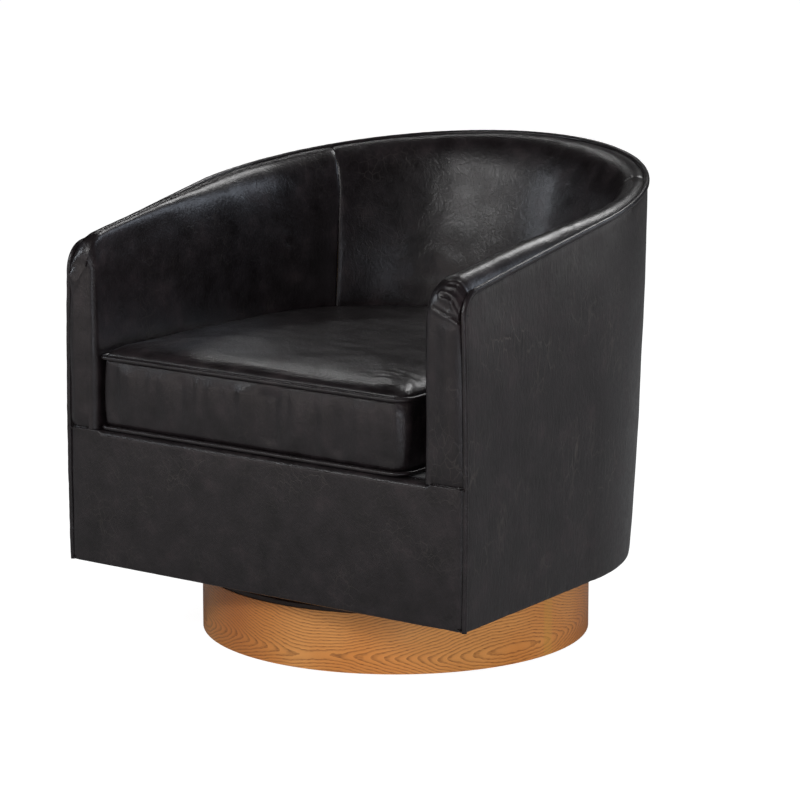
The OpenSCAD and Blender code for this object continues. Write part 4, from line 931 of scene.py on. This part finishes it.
rim = cushion_outline(CASE_IN)
profile = [(f, 0.0, CASE_FOOT_Z) for f in np.linspace(0.02, 0.97, 24)]
profile += [(0.99, 0.0, CASE_FOOT_Z + 0.001), (1.0, 0.0, LOW_PIPE_Z)]
profile += [(1.0, 0.0045 * math.sin(math.pi * f) ** 0.6, LOW_PIPE_Z + (TOP_PIPE_Z - LOW_PIPE_Z) * f)
            for f in np.linspace(0, 1, 22)[1:-1]]
profile += [(f, 0.0, TOP_PIPE_Z + CROWN * (1 - f ** 8) ** 0.5) for f in 1 - 0.98 * np.linspace(0, 1, 44) ** 2]
cushion = sheet_on("cushion_case", dished(rim, np.array([SHIFT, MIDDLE_Y, 0]), profile), 0, leather)
close_mesh()
declare(cushion, "seat_cushion", "leather",
        "cushion_top_panel", "cushion_bottom_panel", "cushion_boxing", "cushion_foam")
print("cushion start:", len(cushion.data.vertices), "points")

# %% [markdown]
# Foam pushes on its case from inside, much as air does. The case is remeshed evenly and given Cloth with
# a pressure, and the points under the piping are pinned. Twenty frames let it swell and find its tension.
# Then a fifth of that is kept, because the arms and the deck leave the case only so much room.

# %% Cushion swells in its case
PRESSURE, SWELL_FRAMES, SWELL_KEPT = 4.0, 20, 0.2
# Fine enough for the soft folds of the case, which ends with about 202,000 triangles
MESH_SIZE = 0.006

def to_edge(points):
    best = np.full(len(points), 9.0)
    for z in (LOW_PIPE_Z, TOP_PIPE_Z):
        for start in range(0, len(points), 4000):
            part = points[start:start + 4000]
            gap = np.linalg.norm(part[:, None] - (rim + (0, 0, z))[None], axis=-1).min(1)
            best[start:start + 4000] = np.minimum(best[start:start + 4000], gap)
    return best

def swell_case(piece):
    select_only(piece)
    apply_new("REMESH", mode="VOXEL", voxel_size=MESH_SIZE)
    before = shape_of(piece)
    sewn_points = np.nonzero(to_edge(before) < 0.005)[0]
    group = piece.vertex_groups.new(name="sewn_edge")
    group.add(sewn_points.tolist(), 1.0, "REPLACE")
    bpy.ops.object.modifier_add(type="CLOTH")
    cloth = piece.modifiers[-1]
    cloth.settings.use_pressure = True
    cloth.settings.uniform_pressure_force = PRESSURE
    cloth.settings.effector_weights.gravity = 0
    cloth.settings.vertex_group_mass = group.name
    cloth.point_cache.frame_end = SWELL_FRAMES
    for frame_number in range(1, SWELL_FRAMES + 1):
        bpy.context.scene.frame_set(frame_number)
    bpy.ops.object.modifier_apply(modifier=cloth.name)
    bpy.context.scene.frame_set(1)
    piece.vertex_groups.clear()
    moved = shape_of(piece) - before
    after = before + moved * SWELL_KEPT
    rise = after[:, 2] - TOP_PIPE_Z
    after[:, 2] = np.where(rise > 0, TOP_PIPE_Z + rise * CROWN / rise.max(),
                           np.maximum(after[:, 2], CASE_FOOT_Z))
    reshape(piece, after)
    apply_new("SUBSURF")
    furthest = float(np.linalg.norm(moved, axis=-1).max())
    print("swollen by up to", round(furthest * 1000, 1), "mm, pinned", len(sewn_points), "points")

swell_case(cushion)

# %% [markdown]
# Leather that is sewn round a block never lies quite smooth. The boxing gets soft upright folds between its
# two seams, the crown gets shallow dents, and fine wrinkles run out from the free front corner. The case
# dives under the piping all round. Each is a push along the surface's own normal, from smooth noise.

# %% Cushion seams and folds
def normals_of(piece):
    flat = np.empty(len(piece.data.vertices) * 3)
    piece.data.vertex_normals.foreach_get("vector", flat)
    return flat.reshape(-1, 3)

points, out = shape_of(cushion), normals_of(cushion)
edge_gap = to_edge(points)
boxing = eased((0.85 - np.abs(out[:, 2])) / 0.25) * eased((edge_gap - 0.004) / 0.02)
top = eased((out[:, 2] - 0.3) / 0.4) * eased((edge_gap - 0.004) / 0.03)
free_corner = np.array([0.235, -0.300, 0.44])
away = np.linalg.norm((points - free_corner) * (1, 1, 0), axis=-1)
# Each kind of fold: where it lies, how deep it is, the size of its lumps and its seed
push = 0.0
for place, depth, size_mm, seed in (
        (boxing, 0.0046, (42, 42, 190), 41), (boxing, 0.0012, (15, 15, 90), 42),
        (top, 0.0016, (120, 90, 120), 43), (top, 0.0005, (50, 26, 60), 44),
        (top * np.exp(-((away - 0.05) / 0.05) ** 2), 0.0008, (34, 9, 30), 45)):
    push = push + place * depth * rough(points, size_mm, seed)
push = push - 0.0030 * np.exp(-edge_gap / 0.0035)
reshape(cushion, points + out * push[:, None])

CUSHION_PIPE_R = 0.0033
for end, z, seed in (("top", TOP_PIPE_Z, 3), ("bottom", LOW_PIPE_Z, 7)):
    ring = smooth_path(cushion_outline(PIPE_R, PIPE_STEP) + (0, 0, z), 3, closed=True)
    pipe = tube("cushion_piping_" + end, ring, (0, 0, 1), CUSHION_PIPE_R, PIPE_SIDES, leather,
                closed=True, seed=seed)
    declare(pipe, "seat_cushion", "leather", "cushion_welt_" + end)

print("leather pieces declared")

# %% [markdown]
# When the cushion is lifted out, the seat's deck shows: a felt pad over the springs, and a black cloth
# pulled over it. Under the body another cloth, stapled to the bottom board, keeps dust out round the
# swivel. Pad and cloths are rings drawn in towards the middle, so that they keep the seat's own outline.

# %% Seat deck, dust cover and felt foot
CLOTH_T, SWIVEL_HOLE = 0.0006, 0.149

def body_ring(base, inset, front_y, step=0.007):
    d = np.linspace(FRONT + front_y, FRONT, 20)
    q = np.concatenate([front_q(d), np.linspace(1, -1, 81)[1:-1], -front_q(d)[::-1]])
    side = base(q) + inward(q) * inset
    front = np.stack([np.linspace(side[-1, 0], side[0, 0], 60)[1:-1], np.full(58, side[0, 1])], -1)
    return flat_ring(np.concatenate([side, front]), step)

def cloth_on(name, points, merge_within, node, flip=False):
    cloth = sheet_on(name, points[::-1] if flip else points, 0, finish_of["lining"], flip=flip)
    merged(merge_within)
    apply_new("SOLIDIFY", thickness=CLOTH_T, offset=-1)
    declare(cloth, "chair_body", "lining", node)

deck, deck_middle = body_ring(seat_pt, 0.0008, -0.3100), np.array([0.0, MIDDLE_Y, 0])
profile = [(f, 0.0, 0.3029) for f in np.linspace(0.02, 0.985, 12)] + [(1.0, 0.0, 0.3060), (1.0, 0.0, 0.3165)]
profile += [(f, 0.0, 0.3193) for f in np.linspace(0.985, 0.02, 24)]
deck_points = dished(deck, deck_middle, profile)
top_side = deck_points[..., 2] > 0.319
deck_points[..., 2] -= np.where(top_side, 0.0004 + 0.0004 * rough(deck_points, 60, 51), 0)
pad = sheet_on("deck_felt_pad", deck_points, 0, finish_of["felt_pad"])
close_mesh()
declare(pad, "chair_body", "felt_pad", "deck_pad")

profile = [(f, 0.0, 0.3209) for f in np.concatenate([[0.0003], np.linspace(0.1, 1, 30)])]
cloth_points = dished(deck, deck_middle, profile)
cloth_points[..., 2] -= 0.0003 + 0.0003 * rough(cloth_points * (1, 0.4, 1), 35, 52)
cloth_on("deck_cloth_black", cloth_points, 0.0004, "deck_cloth", flip=True)

# The dust cloth sags a little between its edge and the square hole for the swivel
hem = body_ring(foot_pt, 0.0235, -0.3098)
hole = hem * (1, 1, 0) / np.abs(hem[:, :2]).max(1, keepdims=True) * SWIVEL_HOLE
shares = np.linspace(0, 1, 24)
dust_points = np.array([hem + (hole - hem) * f + (0, 0, 0.1162 - 0.0020 * math.sin(math.pi * f))
                        for f in shares])
dust_points = np.concatenate([dust_points, dust_points[:, :1]], 1)
dust_points[..., 2] += 0.0007 * rough(dust_points, 40, 53) * np.sin(math.pi * shares)[:, None]
cloth_on("dust_cloth_black", dust_points, MERGE, "dust_cover")

bpy.ops.object.select_all(action="DESELECT")
bpy.ops.mesh.primitive_cylinder_add(vertices=128, radius=0.2809, depth=0.002, location=(0, 0, 0.001))
foot = bpy.context.object
foot.name = "foot_felt"
edited((bpy.ops.mesh.bevel, {"offset": 0.0007, "segments": 3, "affect": "EDGES"}))
bpy.ops.object.transform_apply(location=True, rotation=True, scale=True)
bpy.ops.object.shade_smooth_by_angle(angle=math.radians(40))
foot.data.materials.append(finish_of["felt"])
declare(foot, "base", "felt", "floor_pad")
print("deck, dust cloth and felt foot made")

# %% [markdown]
# The chair stands on a white sweep. Dark leather shows little but what it reflects, so each highlight of
# the photograph says where a light stood: the direction half-way between the light and the lens is the
# leather's own direction there. The bright lines along both arms come from a panel above and behind, those
# on the inside back from above the front, and the soft sheen of the front from a wide, dim panel there.
# Two panels don't show in the leather at all: they only light the oak and the grain.

# %% Studio
def studio_surface(name, level, shown):
    material = bpy.data.materials.new(name)
    material.use_nodes = True
    tree = material.node_tree
    tree.nodes.clear()
    seen = add(tree, "LightPath").outputs["Is Camera Ray"]
    matt = add(tree, "BsdfDiffuse", {"Color": (level, level, level, 1)}).outputs[0]
    white = add(tree, "Emission", {"Color": (1, 1, 1, 1), "Strength": shown}).outputs[0]
    pale = add(tree, "AddShader", {0: matt, 1: white}).outputs[0]
    both = add(tree, "MixShader", {0: seen, 1: matt, 2: pale}).outputs[0]
    add(tree, "OutputMaterial", {"Surface": both})
    return material

bpy.ops.mesh.primitive_plane_add(size=40)
floor = bpy.context.object
floor.name = "studio_floor"
floor.data.materials.append(studio_surface("paper_sweep_white", 0.30, 0.93))

LIT_POINT = Vector((0, 0, 0.5))
WHITE, COOL, BLUISH, WARM = (1.0, 1.0, 1.0), (0.86, 0.92, 1.0), (0.78, 0.86, 1.0), (1.0, 0.90, 0.88)

def softbox(name, direction, distance, width, height, radiance, tint=WHITE, glossy=True):
    away = Vector(direction).normalized()
    bpy.ops.object.light_add(type="AREA", location=LIT_POINT + away * distance)
    lamp = bpy.context.object
    lamp.name = "light_" + name
    lamp.rotation_euler = away.to_track_quat("Z", "Y").to_euler()
    lamp.data.shape = "RECTANGLE"
    lamp.data.size = width
    lamp.data.size_y = height
    lamp.data.color = tint
    lamp.data.energy = radiance * width * height * math.pi
    lamp.visible_camera = False
    lamp.visible_glossy = glossy

# Each panel: its direction from the chair, its distance, width and height in metres, and its brightness
softbox("arm_lines", (-0.01, 0.65, 0.76), 3.0, 1.0, 0.7, 9.0)
softbox("crown_streak", (-0.60, 0.52, 0.61), 3.4, 1.0, 0.14, 9.0)
softbox("back_key", (-0.02, -0.86, 0.50), 3.6, 0.8, 0.5, 12.0)
softbox("back_cool", (-0.82, -0.52, 0.24), 3.0, 0.5, 0.6, 8.0, COOL)
softbox("back_low", (0.61, -0.79, -0.02), 4.0, 1.3, 0.9, 2.4, (0.86, 0.90, 1.0))
softbox("left_nose", (-0.42, -0.80, 0.43), 3.2, 0.45, 0.45, 12.0)
softbox("right_high", (0.60, 0.66, 0.46), 3.2, 1.4, 0.7, 3.5, BLUISH)
softbox("front_fill", (0.30, -0.85, 0.42), 4.0, 2.6, 2.0, 2.7, glossy=False)
softbox("front_sheen", (-0.30, -0.95, -0.03), 5.0, 5.2, 1.6, 0.9, WARM)
softbox("drum_right", (0.93, -0.36, 0.0), 3.0, 1.2, 0.9, 11.0, glossy=False)
softbox("right_rear", (0.62, 0.76, -0.02), 4.0, 2.0, 1.6, 0.8)

# The surroundings look white but light the chair only dimly, and its highlights not at all
world = bpy.context.scene.world or bpy.data.worlds.new("studio_world")
bpy.context.scene.world = world
world.cycles_visibility.glossy = False
world.use_nodes = True
tree = world.node_tree
tree.nodes.clear()
level = ranged(tree, add(tree, "LightPath").outputs["Is Camera Ray"], 0.26, 1.0)
sky = add(tree, "Background", {"Color": (1, 1, 1, 1), "Strength": level}).outputs[0]
add(tree, "OutputWorld", {"Surface": sky})
bpy.context.scene.view_settings.view_transform = "Standard"
